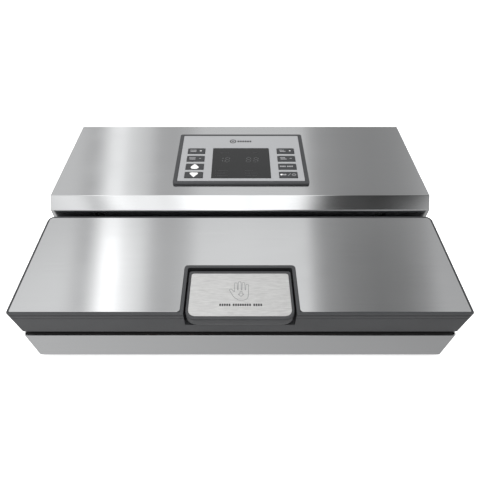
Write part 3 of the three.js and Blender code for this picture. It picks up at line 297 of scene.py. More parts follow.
def scratch_brushed_aluminium(tree, place, settings):
    """Anodised aluminium, wire-brushed in short crossed strokes: pale, with a woolly mottle."""
    strokes = []
    for turn, length_mm in ((0.25, 9), (-0.5, 7)):
        across = add(tree, "ShaderNodeMapping", {"Vector": place, "Scale": per_mm(length_mm, 1.1, 1.1),
                                                 "Rotation": (0, 0, turn)})["Vector"]
        strokes.append(add(tree, "ShaderNodeTexNoise", {"Vector": across, "Scale": 1.0, "Detail": 4.0,
                                                        "Roughness": 0.65})["Fac"])
    crossed = add(tree, "ShaderNodeMath", {0: strokes[0], 1: strokes[1]}, operation="ADD")["Value"]
    mottle = add(tree, "ShaderNodeMapRange", {"Value": crossed, "From Min": 0.75, "From Max": 1.25})["Result"]
    colour = add(tree, "ShaderNodeValToRGB", {"Fac": mottle},
                 [(0.0, shaded(settings.aluminium, 0.78)), (1.0, list(settings.aluminium))])["Color"]
    blur = add(tree, "ShaderNodeMapRange", {"Value": mottle, "To Min": 0.34, "To Max": 0.52})["Result"]
    scratches = add(tree, "ShaderNodeBump", {"Height": mottle, "Distance": 0.02 * MM})["Normal"]
    return {"Base Color": colour, "Roughness": blur, "Metallic": 0.85, "Normal": scratches}


def silver_overlay(tree, place, settings):
    """Polycarbonate film printed silver from behind: satin, flecked by the metallic ink."""
    fine = add(tree, "ShaderNodeMapping", {"Vector": place, "Scale": per_mm(0.45)})["Vector"]
    fleck = add(tree, "ShaderNodeTexNoise", {"Vector": fine, "Scale": 1.0, "Detail": 2.0})["Fac"]
    colour = add(tree, "ShaderNodeValToRGB", {"Fac": fleck},
                 [(0.3, shaded(settings.overlay, 0.94)), (0.7, shaded(settings.overlay, 1.05))])["Color"]
    blur = add(tree, "ShaderNodeMapRange", {"Value": fleck, "To Min": 0.34, "To Max": 0.5})["Result"]
    film = add(tree, "ShaderNodeBump", {"Height": fleck, "Distance": 0.004 * MM})["Normal"]
    return {"Base Color": colour, "Roughness": blur, "Metallic": 0.3, "IOR": 1.58, "Normal": film}


def smoked_acrylic(tree, place, settings):
    """Cast acrylic, smoked: near-black gloss with faint streaks of wiping."""
    wide = add(tree, "ShaderNodeMapping", {"Vector": place, "Scale": per_mm(18, 7, 7),
                                           "Rotation": (0, 0, 0.6)})["Vector"]
    wipes = add(tree, "ShaderNodeTexNoise", {"Vector": wide, "Scale": 1.0, "Detail": 3.0})["Fac"]
    colour = add(tree, "ShaderNodeValToRGB", {"Fac": wipes},
                 [(0.3, shaded(settings.window, 0.92)), (0.7, shaded(settings.window, 1.06))])["Color"]
    blur = add(tree, "ShaderNodeMapRange", {"Value": wipes, "To Min": 0.14, "To Max": 0.28})["Result"]
    haze = add(tree, "ShaderNodeBump", {"Height": wipes, "Distance": 0.003 * MM})["Normal"]
    return {"Base Color": colour, "Roughness": blur, "IOR": 1.49, "Normal": haze}


def nitrile_rubber(tree, place, colour):
    """Compression-moulded nitrile rubber: matte and finely grained, with a little dust in it."""
    fine = add(tree, "ShaderNodeMapping", {"Vector": place, "Scale": per_mm(0.4)})["Vector"]
    grain = add(tree, "ShaderNodeTexNoise", {"Vector": fine, "Scale": 1.0, "Detail": 3.0})["Fac"]
    wide = add(tree, "ShaderNodeMapping", {"Vector": place, "Scale": per_mm(7)})["Vector"]
    dust = add(tree, "ShaderNodeTexNoise", {"Vector": wide, "Scale": 1.0, "Detail": 2.0})["Fac"]
    tint = add(tree, "ShaderNodeValToRGB", {"Fac": dust},
               [(0.35, colour), (0.8, shaded(colour, 1.5))])["Color"]
    blur = add(tree, "ShaderNodeMapRange", {"Value": grain, "To Min": 0.7, "To Max": 0.95})["Result"]
    skin = add(tree, "ShaderNodeBump", {"Height": grain, "Distance": 0.03 * MM})["Normal"]
    return {"Base Color": tint, "Roughness": blur, "IOR": 1.52, "Normal": skin}


def closed_cell_foam(tree, place):
    """Closed-cell neoprene foam, skived: dull dark grey with open cut cells 0.9 mm across, their hollows
    painted darker as painted shade.
    """
    cellular = add(tree, "ShaderNodeMapping", {"Vector": place, "Scale": per_mm(0.9)})["Vector"]
    depth = add(tree, "ShaderNodeTexVoronoi", {"Vector": cellular, "Scale": 1.0})["Distance"]
    # Painted shade: the tint darkens where the cells sink deepest.
    tint = add(tree, "ShaderNodeValToRGB", {"Fac": depth},
               [(0.1, linear("2c2d2f")), (0.6, linear("4d4e50"))])["Color"]
    cells = add(tree, "ShaderNodeBump", {"Height": depth, "Distance": 0.12 * MM})["Normal"]
    return {"Base Color": tint, "Roughness": 0.92, "IOR": 1.5, "Normal": cells}


def zinc_plate(tree, place):
    """Bright zinc electroplate on pressed steel: a soft grey metal, clouded by passivation."""
    wide = add(tree, "ShaderNodeMapping", {"Vector": place, "Scale": per_mm(14)})["Vector"]
    clouds = add(tree, "ShaderNodeTexNoise", {"Vector": wide, "Scale": 1.0, "Detail": 4.0,
                                              "Distortion": 0.6})["Fac"]
    tint = add(tree, "ShaderNodeValToRGB", {"Fac": clouds},
               [(0.3, linear("9b9ea0")), (0.7, linear("acaeaf"))])["Color"]
    blur = add(tree, "ShaderNodeMapRange", {"Value": clouds, "From Min": 0.3, "From Max": 0.7,
                                            "To Min": 0.36, "To Max": 0.45})["Result"]
    rolled = add(tree, "ShaderNodeMapping", {"Vector": place, "Scale": per_mm(30, 1.2, 1.2)})["Vector"]
    lines = add(tree, "ShaderNodeTexNoise", {"Vector": rolled, "Scale": 1.0, "Detail": 3.0})["Fac"]
    mill = add(tree, "ShaderNodeBump", {"Height": lines, "Distance": 0.008 * MM})["Normal"]
    return {"Base Color": tint, "Roughness": blur, "Metallic": 1.0, "Normal": mill}


def coated_glass_cloth(tree, place):
    """PTFE-coated glass cloth: tan and waxy, its plain weave drawn 0.8 mm wide to show."""
    threads = add(tree, "ShaderNodeMapping", {"Vector": place, "Scale": per_mm(0.8)})["Vector"]
    warp, weft = [add(tree, "ShaderNodeTexWave", {"Vector": threads, "Scale": 0.5},
                      bands_direction=axis)["Fac"] for axis in ("X", "Y")]
    weave = add(tree, "ShaderNodeMath", {0: warp, 1: weft}, operation="MULTIPLY")["Value"]
    tint = add(tree, "ShaderNodeValToRGB", {"Fac": weave},
               [(0.0, linear("7d5f3d")), (0.8, linear("a98a60"))])["Color"]
    cloth = add(tree, "ShaderNodeBump", {"Height": weave, "Distance": 0.03 * MM})["Normal"]
    return {"Base Color": tint, "Roughness": 0.42, "IOR": 1.38, "Normal": cloth}


def green_solder_mask(tree, place):
    """Glass-epoxy board under green solder mask: copper tracks show through as paler lines."""
    layout = add(tree, "ShaderNodeMapping", {"Vector": place, "Scale": per_mm(6)})["Vector"]
    tracks = add(tree, "ShaderNodeTexBrick", {
        "Vector": layout, "Color1": linear("22593a"), "Color2": linear("286643"),
        "Mortar": linear("4c8d63"), "Scale": 1.0, "Mortar Size": 0.04})
    copper = add(tree, "ShaderNodeBump", {"Height": tracks["Fac"], "Distance": 0.03 * MM})["Normal"]
    return {"Base Color": tracks["Color"], "Roughness": 0.35, "IOR": 1.55, "Normal": copper}


def enamelled_winding(tree, place):
    """Enamelled copper wire, 0.8 mm, wound in level turns: a warm ribbed metal, painted dark brown in the
    grooves between turns as painted shade.
    """
    wires = add(tree, "ShaderNodeMapping", {"Vector": place, "Scale": per_mm(0.8)})["Vector"]
    turns = add(tree, "ShaderNodeTexWave", {"Vector": wires, "Scale": 0.5}, bands_direction="Z")["Fac"]
    # Painted shade: the tint darkens into the grooves between the turns, where the bump sinks.
    tint = add(tree, "ShaderNodeValToRGB", {"Fac": turns},
               [(0.0, linear("5a2c16")), (0.7, linear("b5703f"))])["Color"]
    ribs = add(tree, "ShaderNodeBump", {"Height": turns, "Distance": 0.2 * MM})["Normal"]
    return {"Base Color": tint, "Roughness": 0.35, "Metallic": 0.8, "Normal": ribs}


def varnished_laminations(tree, place):
    """Silicon-steel laminations, varnished: dark edges in parallel lines, drawn 1 mm apart."""
    stack = add(tree, "ShaderNodeMapping", {"Vector": place, "Scale": per_mm(1)})["Vector"]
    edges = add(tree, "ShaderNodeTexWave", {"Vector": stack, "Scale": 0.5}, bands_direction="Y")["Fac"]
    tint = add(tree, "ShaderNodeValToRGB", {"Fac": edges},
               [(0.0, linear("2f3033")), (0.8, linear("606266"))])["Color"]
    ridges = add(tree, "ShaderNodeBump", {"Height": edges, "Distance": 0.05 * MM})["Normal"]
    return {"Base Color": tint, "Roughness": 0.45, "Metallic": 0.6, "Normal": ridges}


def cast_silicone(tree, place, colour, clearness):
    """Cast silicone rubber: a soft, waxy sheen with a faint cloudiness."""
    wide = add(tree, "ShaderNodeMapping", {"Vector": place, "Scale": per_mm(6)})["Vector"]
    clouds = add(tree, "ShaderNodeTexNoise", {"Vector": wide, "Scale": 1.0, "Detail": 2.0})["Fac"]
    tint = add(tree, "ShaderNodeValToRGB", {"Fac": clouds},
               [(0.3, shaded(colour, 0.88)), (0.7, colour)])["Color"]
    blur = add(tree, "ShaderNodeMapRange", {"Value": clouds, "To Min": 0.4, "To Max": 0.6})["Result"]
    skin = add(tree, "ShaderNodeBump", {"Height": clouds, "Distance": 0.02 * MM})["Normal"]
    return {"Base Color": tint, "Roughness": blur, "IOR": 1.41, "Normal": skin,
            "Transmission Weight": clearness}


def screen_ink(tree, place, colour):
    """Screen-printed ink: flat colour, thinned a little where the mesh of the screen lay."""
    fine = add(tree, "ShaderNodeMapping", {"Vector": place, "Scale": per_mm(0.35)})["Vector"]
    screen = add(tree, "ShaderNodeTexNoise", {"Vector": fine, "Scale": 1.0, "Detail": 2.0})["Fac"]
    tint = add(tree, "ShaderNodeValToRGB", {"Fac": screen},
               [(0.25, shaded(colour, 0.9)), (0.6, colour)])["Color"]
    return {"Base Color": tint, "Roughness": 0.5, "IOR": 1.5}


FINISH = {}


def mix_finishes(settings):
    """One material for each of the record's slots, and the printing inks, in FINISH."""
    FINISH.update({
        "stainless": finish_of("satin_stainless", satin_stainless, settings),
        "brushed_aluminium": finish_of("brushed_aluminium", scratch_brushed_aluminium, settings),
        "dark_plastic": finish_of("dark_grey_abs", moulded_abs, list(settings.dark_plastic), 0.42, 0.5),
        "black_plastic": finish_of("black_abs", moulded_abs, linear("080809"), 0.68, 0.5),
        "panel_silver": finish_of("silver_overlay", silver_overlay, settings),
        "smoked_window": finish_of("smoked_acrylic", smoked_acrylic, settings),
        "key_charcoal": finish_of("charcoal_abs", moulded_abs, list(settings.key), 0.5, 0.35),
        "foot_rubber": finish_of("nitrile_rubber", nitrile_rubber, linear("1f2021")),
        "foam": finish_of("closed_cell_foam", closed_cell_foam),
        "silicone": finish_of("red_silicone", cast_silicone, linear("b6533c"), 0.0),
        "heater_tape": finish_of("coated_glass_cloth", coated_glass_cloth),
        "zinc": finish_of("zinc_plate", zinc_plate),
        "circuit_board": finish_of("green_solder_mask", green_solder_mask),
        "winding": finish_of("enamelled_winding", enamelled_winding),
        "lamination": finish_of("varnished_laminations", varnished_laminations),
        "clear_tube": finish_of("clear_silicone", cast_silicone, linear("d6dcdd"), 0.6),
        "white_ink": finish_of("white_ink", screen_ink, linear("f2f2f2")),
        "pale_ink": finish_of("pale_ink", screen_ink, linear("a8a8aa")),
        "grey_ink": finish_of("grey_ink", screen_ink, linear("7c7d7f")),
        "black_ink": finish_of("black_ink", screen_ink, linear("1c1c1d")),
        "unlit_segment": finish_of("unlit_segment", screen_ink, linear("4a4b4d")),
        "unlit_legend": finish_of("unlit_legend", screen_ink, linear("2c2d2f")),
    })


# ---- CAD nodes with softened edges ----
def soften(nodes, width, steps):
    """Copies of CAD nodes with doubles merged, flat faces joined and hard edges rounded."""
    for node in nodes:
        thing = bpy.data.objects.new(node + "_finished", frame["nodes"][node].data.copy())
        bpy.context.scene.collection.objects.link(thing)
        shape = bmesh.new()
        shape.from_mesh(thing.data)
        bmesh.ops.remove_doubles(shape, verts=shape.verts, dist=MERGE)
        bmesh.ops.dissolve_limit(shape, angle_limit=FLAT, verts=shape.verts, edges=shape.edges)
        for face in shape.faces:
            face.smooth = True
        shape.to_mesh(thing.data)
        shape.free()
        rounding = thing.modifiers.new("rounded_edges", "BEVEL")
        rounding.width = width
        rounding.segments = steps
        rounding.limit_method = "ANGLE"
        rounding.angle_limit = HARD
        rounding.harden_normals = True
        thing.modifiers.new("even_normals", "WEIGHTED_NORMAL").keep_sharp = True
        dress(thing, BODY_OF[node], SLOT_OF[node])
        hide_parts(node)


def paint(nodes):
    """Gives CAD nodes whose shape is right their finish."""
    for node in nodes:
        thing = frame["nodes"][node]
        for slot in thing.material_slots:
            slot.material = FINISH[SLOT_OF[node]]


# ---- Flat shapes for printing, in millimetres ----
INK = 0.05                     # thickness of a printed mark
LIFT = 0.06                    # a mark's top above the face it is printed on
FILLS = np.array([1.0, 0.5, 0.0])


def ribbon(path, width, closed=False):
    """A stroke: each point of the path steps half the width to either side, along the normal
    between its two neighbours, and further at a corner so that the stroke keeps its width."""
    path = np.asarray(path, float)
    ahead = np.roll(path, -1, 0) - path
    behind = np.roll(ahead, 1, 0)
    if not closed:
        ahead[-1], behind[0] = behind[-1], ahead[0]
    ahead = ahead / np.linalg.norm(ahead, axis=1, keepdims=True)
    behind = behind / np.linalg.norm(behind, axis=1, keepdims=True)
    along = ahead + behind
    along = along / np.linalg.norm(along, axis=1, keepdims=True)
    reach = width / 2 / np.maximum((along * ahead).sum(1), 0.6)
    aside = np.stack([-along[:, 1], along[:, 0]], 1) * reach[:, None]
    return np.stack([path + aside, path - aside], 1).reshape(-1, 2), grid_faces(len(path), 2, closed)


def filled(outline):
    """A solid patch: the outline shrinks in rings towards its middle point."""
    outline = np.asarray(outline, float)
    middle = outline.mean(0)
    rings = middle + (outline - middle)[None] * FILLS[:, None, None]
    return rings.reshape(-1, 2), grid_faces(len(FILLS), len(outline), False, True)


def rounded(corners, radius, steps=6):
    """A closed outline: a quadratic curve from edge to edge stands in for each corner."""
    corners = np.asarray(corners, float)
    ahead = np.roll(corners, -1, 0) - corners
    length = np.linalg.norm(ahead, axis=1, keepdims=True)
    cut = np.minimum(radius, 0.48 * np.minimum(length, np.roll(length, 1, 0)))
    leave = corners + ahead / length * cut
    arrive = corners - np.roll(ahead / length, 1, 0) * cut
    t = np.linspace(0, 1, steps)[None, :, None]
    curve = (1 - t) ** 2 * arrive[:, None] + 2 * t * (1 - t) * corners[:, None] + t ** 2 * leave[:, None]
    return curve.reshape(-1, 2)


def arc(centre, radius, start=0.0, sweep=TURN, steps=32):
    """Points at an even angle round a centre, anticlockwise."""
    angle = start + sweep * np.arange(steps) / steps
    return np.asarray(centre) + radius * np.stack([np.cos(angle), np.sin(angle)], 1)


def oblong(x, y, width, height, radius=0.1):
    """A block with rounded corners: half the width and height to either side of (x, y)."""
    corners = np.array([(-1, -1), (1, -1), (1, 1), (-1, 1)]) * (width / 2, height / 2) + (x, y)
    return rounded(corners, radius, 3)


def wording(letters, x, y, height):
    """A line that stands in for wording: each word is a row of that many plain blocks."""
    shapes = []
    for count in letters:
        shapes += [filled(oblong(x + height * 0.9 * k, y, height * 0.62, height)) for k in range(count)]
        x += height * (0.9 * count + 0.7)
    return shapes


def seven_segments(lit, x, y, width, height, slant=0.1):
    """One numeral: each of the seven bars in lit, 0 to 6 from the top down, is a short stroke, and
    every point shifts sideways by slant times its height."""
    gap = SEGMENT_GAP
    left, right = x + gap / 4, x + width - gap / 4
    low, middle, high = y, y + height / 2, y + height
    bars = [((left + gap, high), (right - gap, high)), ((left, middle + gap), (left, high - gap)),
            ((right, middle + gap), (right, high - gap)), ((left + gap, middle), (right - gap, middle)),
            ((left, low + gap), (left, middle - gap)), ((right, low + gap), (right, middle - gap)),
            ((left + gap, low), (right - gap, low))]
    lean = np.array([[1, 0], [slant, 1]])
    return [ribbon((np.array(bars[k]) - (0, y)) @ lean + (0, y), SEGMENT_LINE) for k in lit]


def printed(name, shapes, middle, top, body, slot, ink):
    """One print: flat shapes joined, moved to a middle point and given the ink's thickness."""
    counts = np.cumsum([0] + [len(points) for points, _ in shapes])
    points = np.concatenate([points for points, _ in shapes]) + middle
    faces = np.concatenate([faces + start for (_, faces), start in zip(shapes, counts)])
    height = np.full(len(points), top + LIFT)
    thing = mesh_object(name, np.column_stack([points, height]) * MM, faces)
    shape = bmesh.new()
    shape.from_mesh(thing.data)
    bmesh.ops.remove_doubles(shape, verts=shape.verts, dist=PRINT_MERGE)
    shape.to_mesh(thing.data)
    shape.free()
    skin = thing.modifiers.new("ink", "SOLIDIFY")
    skin.thickness = INK * MM
    skin.offset = -1
    return dress(thing, body, slot, ink)


def face_of(node):
    """The middle and the top of a CAD node's upper face, in millimetres."""
    low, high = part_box(node)
    return np.array([(low.x + high.x) / 2, (low.y + high.y) / 2]) / MM, high.z / MM


def key_legends():
    """What is printed on each key: the bright shapes and the paler wording, by the key's name."""
    level = ribbon([(3.8, 0), (6.2, 0)], SYMBOL_LINE)
    plus = [level, ribbon([(5.0, -1.2), (5.0, 1.2)], SYMBOL_LINE)]
    long_lines = wording([6], -6.8, 1.2, 1.35) + wording([5], -6.3, -1.2, 1.5)
    short_lines = wording([5], -6.8, 1.2, 1.35) + wording([5], -6.0, -1.2, 1.5)
    up = [filled(rounded([(-3.2, -4.2), (3.2, -4.2), (4.9, -1.6), (0, 4.7), (-4.9, -1.6)], 1.3))]
    down = [filled(rounded([(0, -4.5), (4.9, 2.2), (4.0, 3.7), (-4.0, 3.7), (-4.9, 2.2)], 1.3))]
    ring = ribbon(arc((0, 0), 1.6, steps=24) * (1.25, 0.9) + (6.0, 0), SIGN_LINE, True)
    halt = [ribbon([(-0.6, -2.0), (2.4, 2.0)], SIGN_LINE), ring] + wording([2], -5.0, 0, 2.1)
    return {"key_left_4": (plus, long_lines), "key_left_3": ([], long_lines + [level]),
            "key_left_2": (up, []), "key_left_1": (down, []),
            "key_right_4": (plus, short_lines), "key_right_3": ([], short_lines + [level]),
            "key_right_2": ([], wording([4, 4], -7.8, 0, 1.9)),
            "key_right_1": ([filled(arc((-7.6, 0.1), 1.3))], halt)}


def hand_outline():
    """An open hand: a closed stroke along a rounded outline, and another along a small arrow."""
    hand = [(-1.4, -10.6), (3.6, -10.6), (6.6, -8.8), (7.5, -5.2), (7.6, 6.4), (5.3, 6.4), (5.1, 0.2),
            (4.5, 0.2), (4.3, 8.2), (1.9, 8.2), (1.7, 0.2), (1.1, 0.2), (0.9, 9.2), (-1.5, 9.2), (-1.7, 0.2),
            (-2.3, 0.2), (-2.5, 7.8), (-4.9, 7.8), (-4.9, -2.2), (-8.0, 1.6), (-9.6, 0.2), (-5.4, -7.6)]
    arrow = [(0.0, -1.4), (0.0, -4.2), (-1.7, -4.2), (0.9, -6.9), (3.5, -4.2), (1.8, -4.2), (1.8, -1.4)]
    return [ribbon(rounded(hand, 1.1, 8), HAND_LINE, True), ribbon(rounded(arrow, 0.3), HAND_LINE, True)]


# ---- Turned and carried pieces ----
def turned(name, profile, centre, base, steps=48):
    """A surface of revolution: each (radius, height) of the profile goes round a vertical axis."""
    profile = np.asarray(profile, float)
    angle = TURN * np.arange(steps) / steps
    radius, height = profile[:, 0][:, None], profile[:, 1][:, None]
    points = np.stack([centre[0] + radius * np.cos(angle), centre[1] + radius * np.sin(angle),
                       base + height + 0 * angle], 2)
    return outward(mesh_object(name, points * MM, grid_faces(len(profile), steps, False, True)))


def rubber_foot(node):
    """A foot: a cup with a recess underneath for its screw. Its lip is a quarter circle, and its
    wall follows three waves of a cosine."""
    low, high = [np.array(corner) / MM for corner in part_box(node)]
    rim, tall = (high[0] - low[0]) / 2, high[2] - low[2]
    bend = np.linspace(0, math.pi / 2, 6)
    lip = np.stack([rim - FOOT_LIP + FOOT_LIP * np.sin(bend), FOOT_LIP * (1 - np.cos(bend))], 1)
    ribs = np.linspace(FOOT_LIP, tall - FOOT_LIP / 2, 25)
    wave = np.cos(TURN * 3 * (ribs - FOOT_LIP) / (tall - 1.5 * FOOT_LIP))
    wall = np.stack([rim - FOOT_RIB + FOOT_RIB * wave, ribs], 1)
    inside = [(0, FOOT_RECESS), (FOOT_BORE - 0.4, FOOT_RECESS), (FOOT_BORE, FOOT_RECESS - 0.4),
              (FOOT_BORE, 0.4), (FOOT_BORE + 0.4, 0)]
    profile = np.concatenate([inside, lip, wall, [(rim - 0.6, tall), (0, tall)]])
    foot = turned(node + "_ribbed", profile, (low[:2] + high[:2]) / 2, low[2])
    dress(foot, BODY_OF[node], SLOT_OF[node])
    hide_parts(node)


def screw_heads(name, places, facing, body, radius=2.6, tall=1.4):
    """Pan-head screws: a dome whose height falls from the middle, less a cross that is cut in.
    The height is tall * sqrt(1 - 0.8 r^2), and the cross sinks it where either arm passes."""
    rings, around = 20, 48
    r, angle = np.meshgrid(np.linspace(1, 0, rings), TURN * np.arange(around) / around, indexing="ij")
    x, y = r * np.cos(angle), r * np.sin(angle)
    arm = np.minimum(np.abs(x), np.abs(y))
    cross = (np.clip((0.16 - arm) / 0.06, 0, 1) * np.clip((0.62 - r) / 0.08, 0, 1))
    dome = tall * np.sqrt(1 - 0.8 * r ** 2) - 0.55 * tall * cross
    top = np.stack([x * radius, y * radius, dome], 2).reshape(-1, 3)
    skirt = np.stack([np.cos(angle[0]) * radius, np.sin(angle[0]) * radius, 0 * angle[0]], 1)
    one = np.concatenate([skirt, top])
    faces = grid_faces(rings + 1, around, False, True)
    out = np.array(facing, float)
    side = np.cross(out, (1, 0, 0)) if abs(out[0]) < 0.5 else np.cross(out, (0, 1, 0))
    basis = np.stack([np.cross(side, out), side, out])
    heads = [one @ basis + place for place in places]
    joined = np.concatenate([faces + k * len(one) for k in range(len(places))])
    thing = outward(mesh_object(name, np.concatenate(heads) * MM, joined))
    return dress(thing, body, "zinc")


def release_tape():
    """The cloth over the heating strip: flat on the bar's two edges, and over the strip a
    raised band whose height follows a smooth step on either side."""
    bar_low, bar_high = [np.array(corner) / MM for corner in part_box("seal_bar")]
    wire_low, wire_high = [np.array(corner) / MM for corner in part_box("heating_strip")]
    end, side = TAPE_MARGIN
    x = np.linspace(bar_low[0] + end, bar_high[0] - end, 63)
    y = np.linspace(bar_low[1] + side, bar_high[1] - side, 41)
    near = np.minimum(y - (wire_low[1] - TAPE_STEP), (wire_high[1] + TAPE_STEP) - y)
    step = np.clip(near / TAPE_STEP, 0, 1)
    rise = step * step * (3 - 2 * step) * (wire_high[2] - bar_high[2] + TAPE_CLOTH)
    along, across = np.meshgrid(x, y, indexing="ij")
    lift = bar_high[2] + TAPE_HOVER + rise[None, :] + 0.03 * np.sin(along / 7)
    tape = mesh_object("release_tape", np.stack([along, across, lift], 2) * MM, grid_faces(len(x), len(y)))
    skin = tape.modifiers.new("cloth", "SOLIDIFY")
    skin.thickness = TAPE_CLOTH * MM
    dress(tape, BODY_OF["heating_strip"], "heater_tape")
    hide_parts("heating_strip")


# ---- Studio ----
# The tent's panels and the gaps between them, as (place in the fan, brightness).
BACK_PANELS = [(-0.3, 0.96), (-0.22, 1.0), (-0.21, 0.98), (-0.196, 0.72), (-0.188, 0.7), (-0.176, 1.2),
               (-0.168, 1.85), (-0.155, 1.9), (-0.143, 1.38), (-0.12, 1.06), (-0.105, 0.67), (-0.088, 0.62),
               (-0.07, 0.7), (-0.05, 0.98), (0, 1.0), (0.04, 0.98), (0.082, 0.98), (0.092, 0.6),
               (0.104, 0.42), (0.135, 0.31), (0.17, 0.26), (0.2, 0.29), (0.225, 0.4), (0.242, 0.64),
               (0.258, 0.6), (0.3, 0.62)]
FRONT_PANELS = [(-0.66, 1.0), (-0.6, 1.26), (-0.54, 1.25), (-0.515, 0.75), (-0.49, 0.72), (-0.45, 1.3),
                (-0.425, 1.8), (-0.38, 1.5), (-0.34, 1.36), (-0.3, 1.45), (-0.26, 1.25), (-0.22, 1.36),
                (-0.18, 1.75), (0, 1.75), (0.03, 1.48), (0.06, 1.75), (0.2, 1.62), (0.23, 1.1),
                (0.262, 0.45), (0.3, 0.14), (0.36, 0.09), (0.48, 0.05), (0.56, 0.09), (0.61, 0.18),
                (0.66, 0.6)]
FAN_RISE = 1.85                # how fast the back panels spread towards the top
BRIGHTEST = 2.0
LOWEST = 0.05                  # keeps the two divisions of the fan away from zero
SOFT_BOX = 1.6                 # side of the soft box, and its height above the table
HAZE, HAZE_TONE = 0.42, (0.235,) * 3  # how far the back panels fade near the floor, and to what
HAZE_RISE = (0.63, 0.74)       # the rise of a ray at which the fade starts to end, and has ended


def tent_panels(tree, along, panels):
    """The brightness across one side of the tent, from its list of panels."""
    low, high = panels[0][0], panels[-1][0]
    place = add(tree, "ShaderNodeMapRange", {"Value": along, "From Min": low, "From Max": high})["Result"]
    stops = [((at - low) / (high - low), [bright / BRIGHTEST] * 3) for at, bright in panels]
    return add(tree, "ShaderNodeValToRGB", {"Fac": place}, stops)["Color"]


def light_tent(strength):
    """A soft light tent: panels at the back in a fan, plain ones in front, white to the camera."""
    world = bpy.data.worlds.new("light_tent")
    bpy.context.scene.world = world
    world.use_nodes = True
    tree = world.node_tree
    tree.nodes.clear()
    ray = add(tree, "ShaderNodeTexCoord")["Generated"]
    x, y, z = add(tree, "ShaderNodeSeparateXYZ", {"Vector": ray}).values()
    fan = add(tree, "ShaderNodeMath", {0: z, 1: FAN_RISE, 2: y}, operation="MULTIPLY_ADD")["Value"]
    fan = add(tree, "ShaderNodeMath", {0: fan, 1: LOWEST}, operation="MAXIMUM")["Value"]
    rise = add(tree, "ShaderNodeMath", {0: z, 1: LOWEST}, operation="MAXIMUM")["Value"]
    behind = add(tree, "ShaderNodeMath", {0: x, 1: fan}, operation="DIVIDE")["Value"]
    before = add(tree, "ShaderNodeMath", {0: x, 1: rise}, operation="DIVIDE")["Value"]
    side = add(tree, "ShaderNodeMapRange", {"Value": y, "From Min": -0.2, "From Max": 0.1},
               interpolation_type="SMOOTHSTEP")["Result"]
    near_floor = add(tree, "ShaderNodeMapRange", {"Value": z, "From Min": HAZE_RISE[0],
                                                  "From Max": HAZE_RISE[1],
                                                  "To Min": HAZE, "To Max": 0.0})["Result"]
    back = add(tree, "ShaderNodeMixRGB", {"Fac": near_floor, "Color1": tent_panels(tree, behind, BACK_PANELS),
                                          "Color2": HAZE_TONE})["Color"]
    panels = add(tree, "ShaderNodeMixRGB", {"Fac": side, "Color1": tent_panels(tree, before, FRONT_PANELS),
                                            "Color2": back})["Color"]
    tent = add(tree, "ShaderNodeBackground", {"Color": panels, "Strength": BRIGHTEST * strength})
    plain = add(tree, "ShaderNodeBackground", {"Color": (1, 1, 1), "Strength": 1.0})
    seen = add(tree, "ShaderNodeLightPath")["Is Camera Ray"]
    either = add(tree, "ShaderNodeMixShader", {0: seen, 1: tent["Background"], 2: plain["Background"]})
    add(tree, "ShaderNodeOutputWorld", {"Surface": either["Shader"]})


def light_table(tone, glow, left, right, reach):
    """A pale light table: matt, lit a little from below. Steel mirrors it dimmer, left to right."""
    material = bpy.data.materials.new("light_table")
    material.use_nodes = True
    tree = material.node_tree
    tree.nodes.clear()
    place = add(tree, "ShaderNodeTexCoord")["Object"]
    x = add(tree, "ShaderNodeSeparateXYZ", {"Vector": place})["X"]
    across = add(tree, "ShaderNodeMapRange", {"Value": x, "From Min": -reach, "From Max": reach})["Result"]
    dim = add(tree, "ShaderNodeValToRGB", {"Fac": across}, [(0, left), (1, right)])["Color"]
    mirrored = add(tree, "ShaderNodeLightPath")["Is Glossy Ray"]
    colour = add(tree, "ShaderNodeMixRGB", {"Fac": mirrored, "Color1": tone, "Color2": (0, 0, 0)})["Color"]
    lit = add(tree, "ShaderNodeMixRGB", {"Fac": mirrored, "Color1": [glow] * 3, "Color2": dim})["Color"]
    matt = add(tree, "ShaderNodeBsdfDiffuse", {"Color": colour})["BSDF"]
    below = add(tree, "ShaderNodeEmission", {"Color": lit})["Emission"]
    both = add(tree, "ShaderNodeAddShader", {0: matt, 1: below})["Shader"]
    add(tree, "ShaderNodeOutputMaterial", {"Surface": both})
    return material


# ---- Operators ----
class SEALER_OT_finishes(bpy.types.Operator):
    """Mixes the finish of every material slot"""
    bl_idname = "sealer.finishes"
    bl_label = "Mix finishes"

    def execute(self, context):
        mix_finishes(context.scene.sealer_finish)
        return {"FINISHED"}


class SEALER_OT_sheet_steel(bpy.types.Operator):
    """Folded steel: the base wrap, the rear cover, and the bottom and back panels"""
    bl_idname = "sealer.sheet_steel"
    bl_label = "Sheet steel"

    def execute(self, context):
        edges = context.scene.sealer_edges
        soften(["base_wrap", "rear_cover"], edges.sheet_fold, edges.steps)
        soften(["bottom_plate", "back_panel"], edges.plate, 2)
        return {"FINISHED"}


class SEALER_OT_lid(bpy.types.Operator):
    """The lid: its moulded frame, steel plate, foam liner, gasket and pressure strip"""
    bl_idname = "sealer.lid"
    bl_label = "Lid"

    def execute(self, context):
        edges = context.scene.sealer_edges
        soften(["lid_frame"], edges.moulded, edges.steps)
        soften(["lid_plate", "lid_liner"], edges.plate, edges.steps)
        soften(["lid_gasket", "pressure_strip"], edges.foam, edges.steps)
        paint(["hinge_pin_left", "hinge_pin_right"])
        return {"FINISHED"}


class SEALER_OT_handle(bpy.types.Operator):
    """The press handle, its plate and the open hand printed on it"""
    bl_idname = "sealer.handle"
    bl_label = "Handle"

    def execute(self, context):
        edges = context.scene.sealer_edges
        soften(["handle_body"], edges.moulded, edges.steps)
        soften(["handle_plate"], edges.plate, edges.steps)
        middle, top = face_of("handle_plate")
        words = wording([5, 8, 4], -17.2, 0, 2.25)
        for name, shapes, y, ink in (("hand_mark", hand_outline(), 4.0, "grey_ink"),
                                     ("handle_wording", words, -11.4, "black_ink")):
            printed(name, shapes, middle + (0, y), top, "handle", "brushed_aluminium", ink)
        return {"FINISHED"}


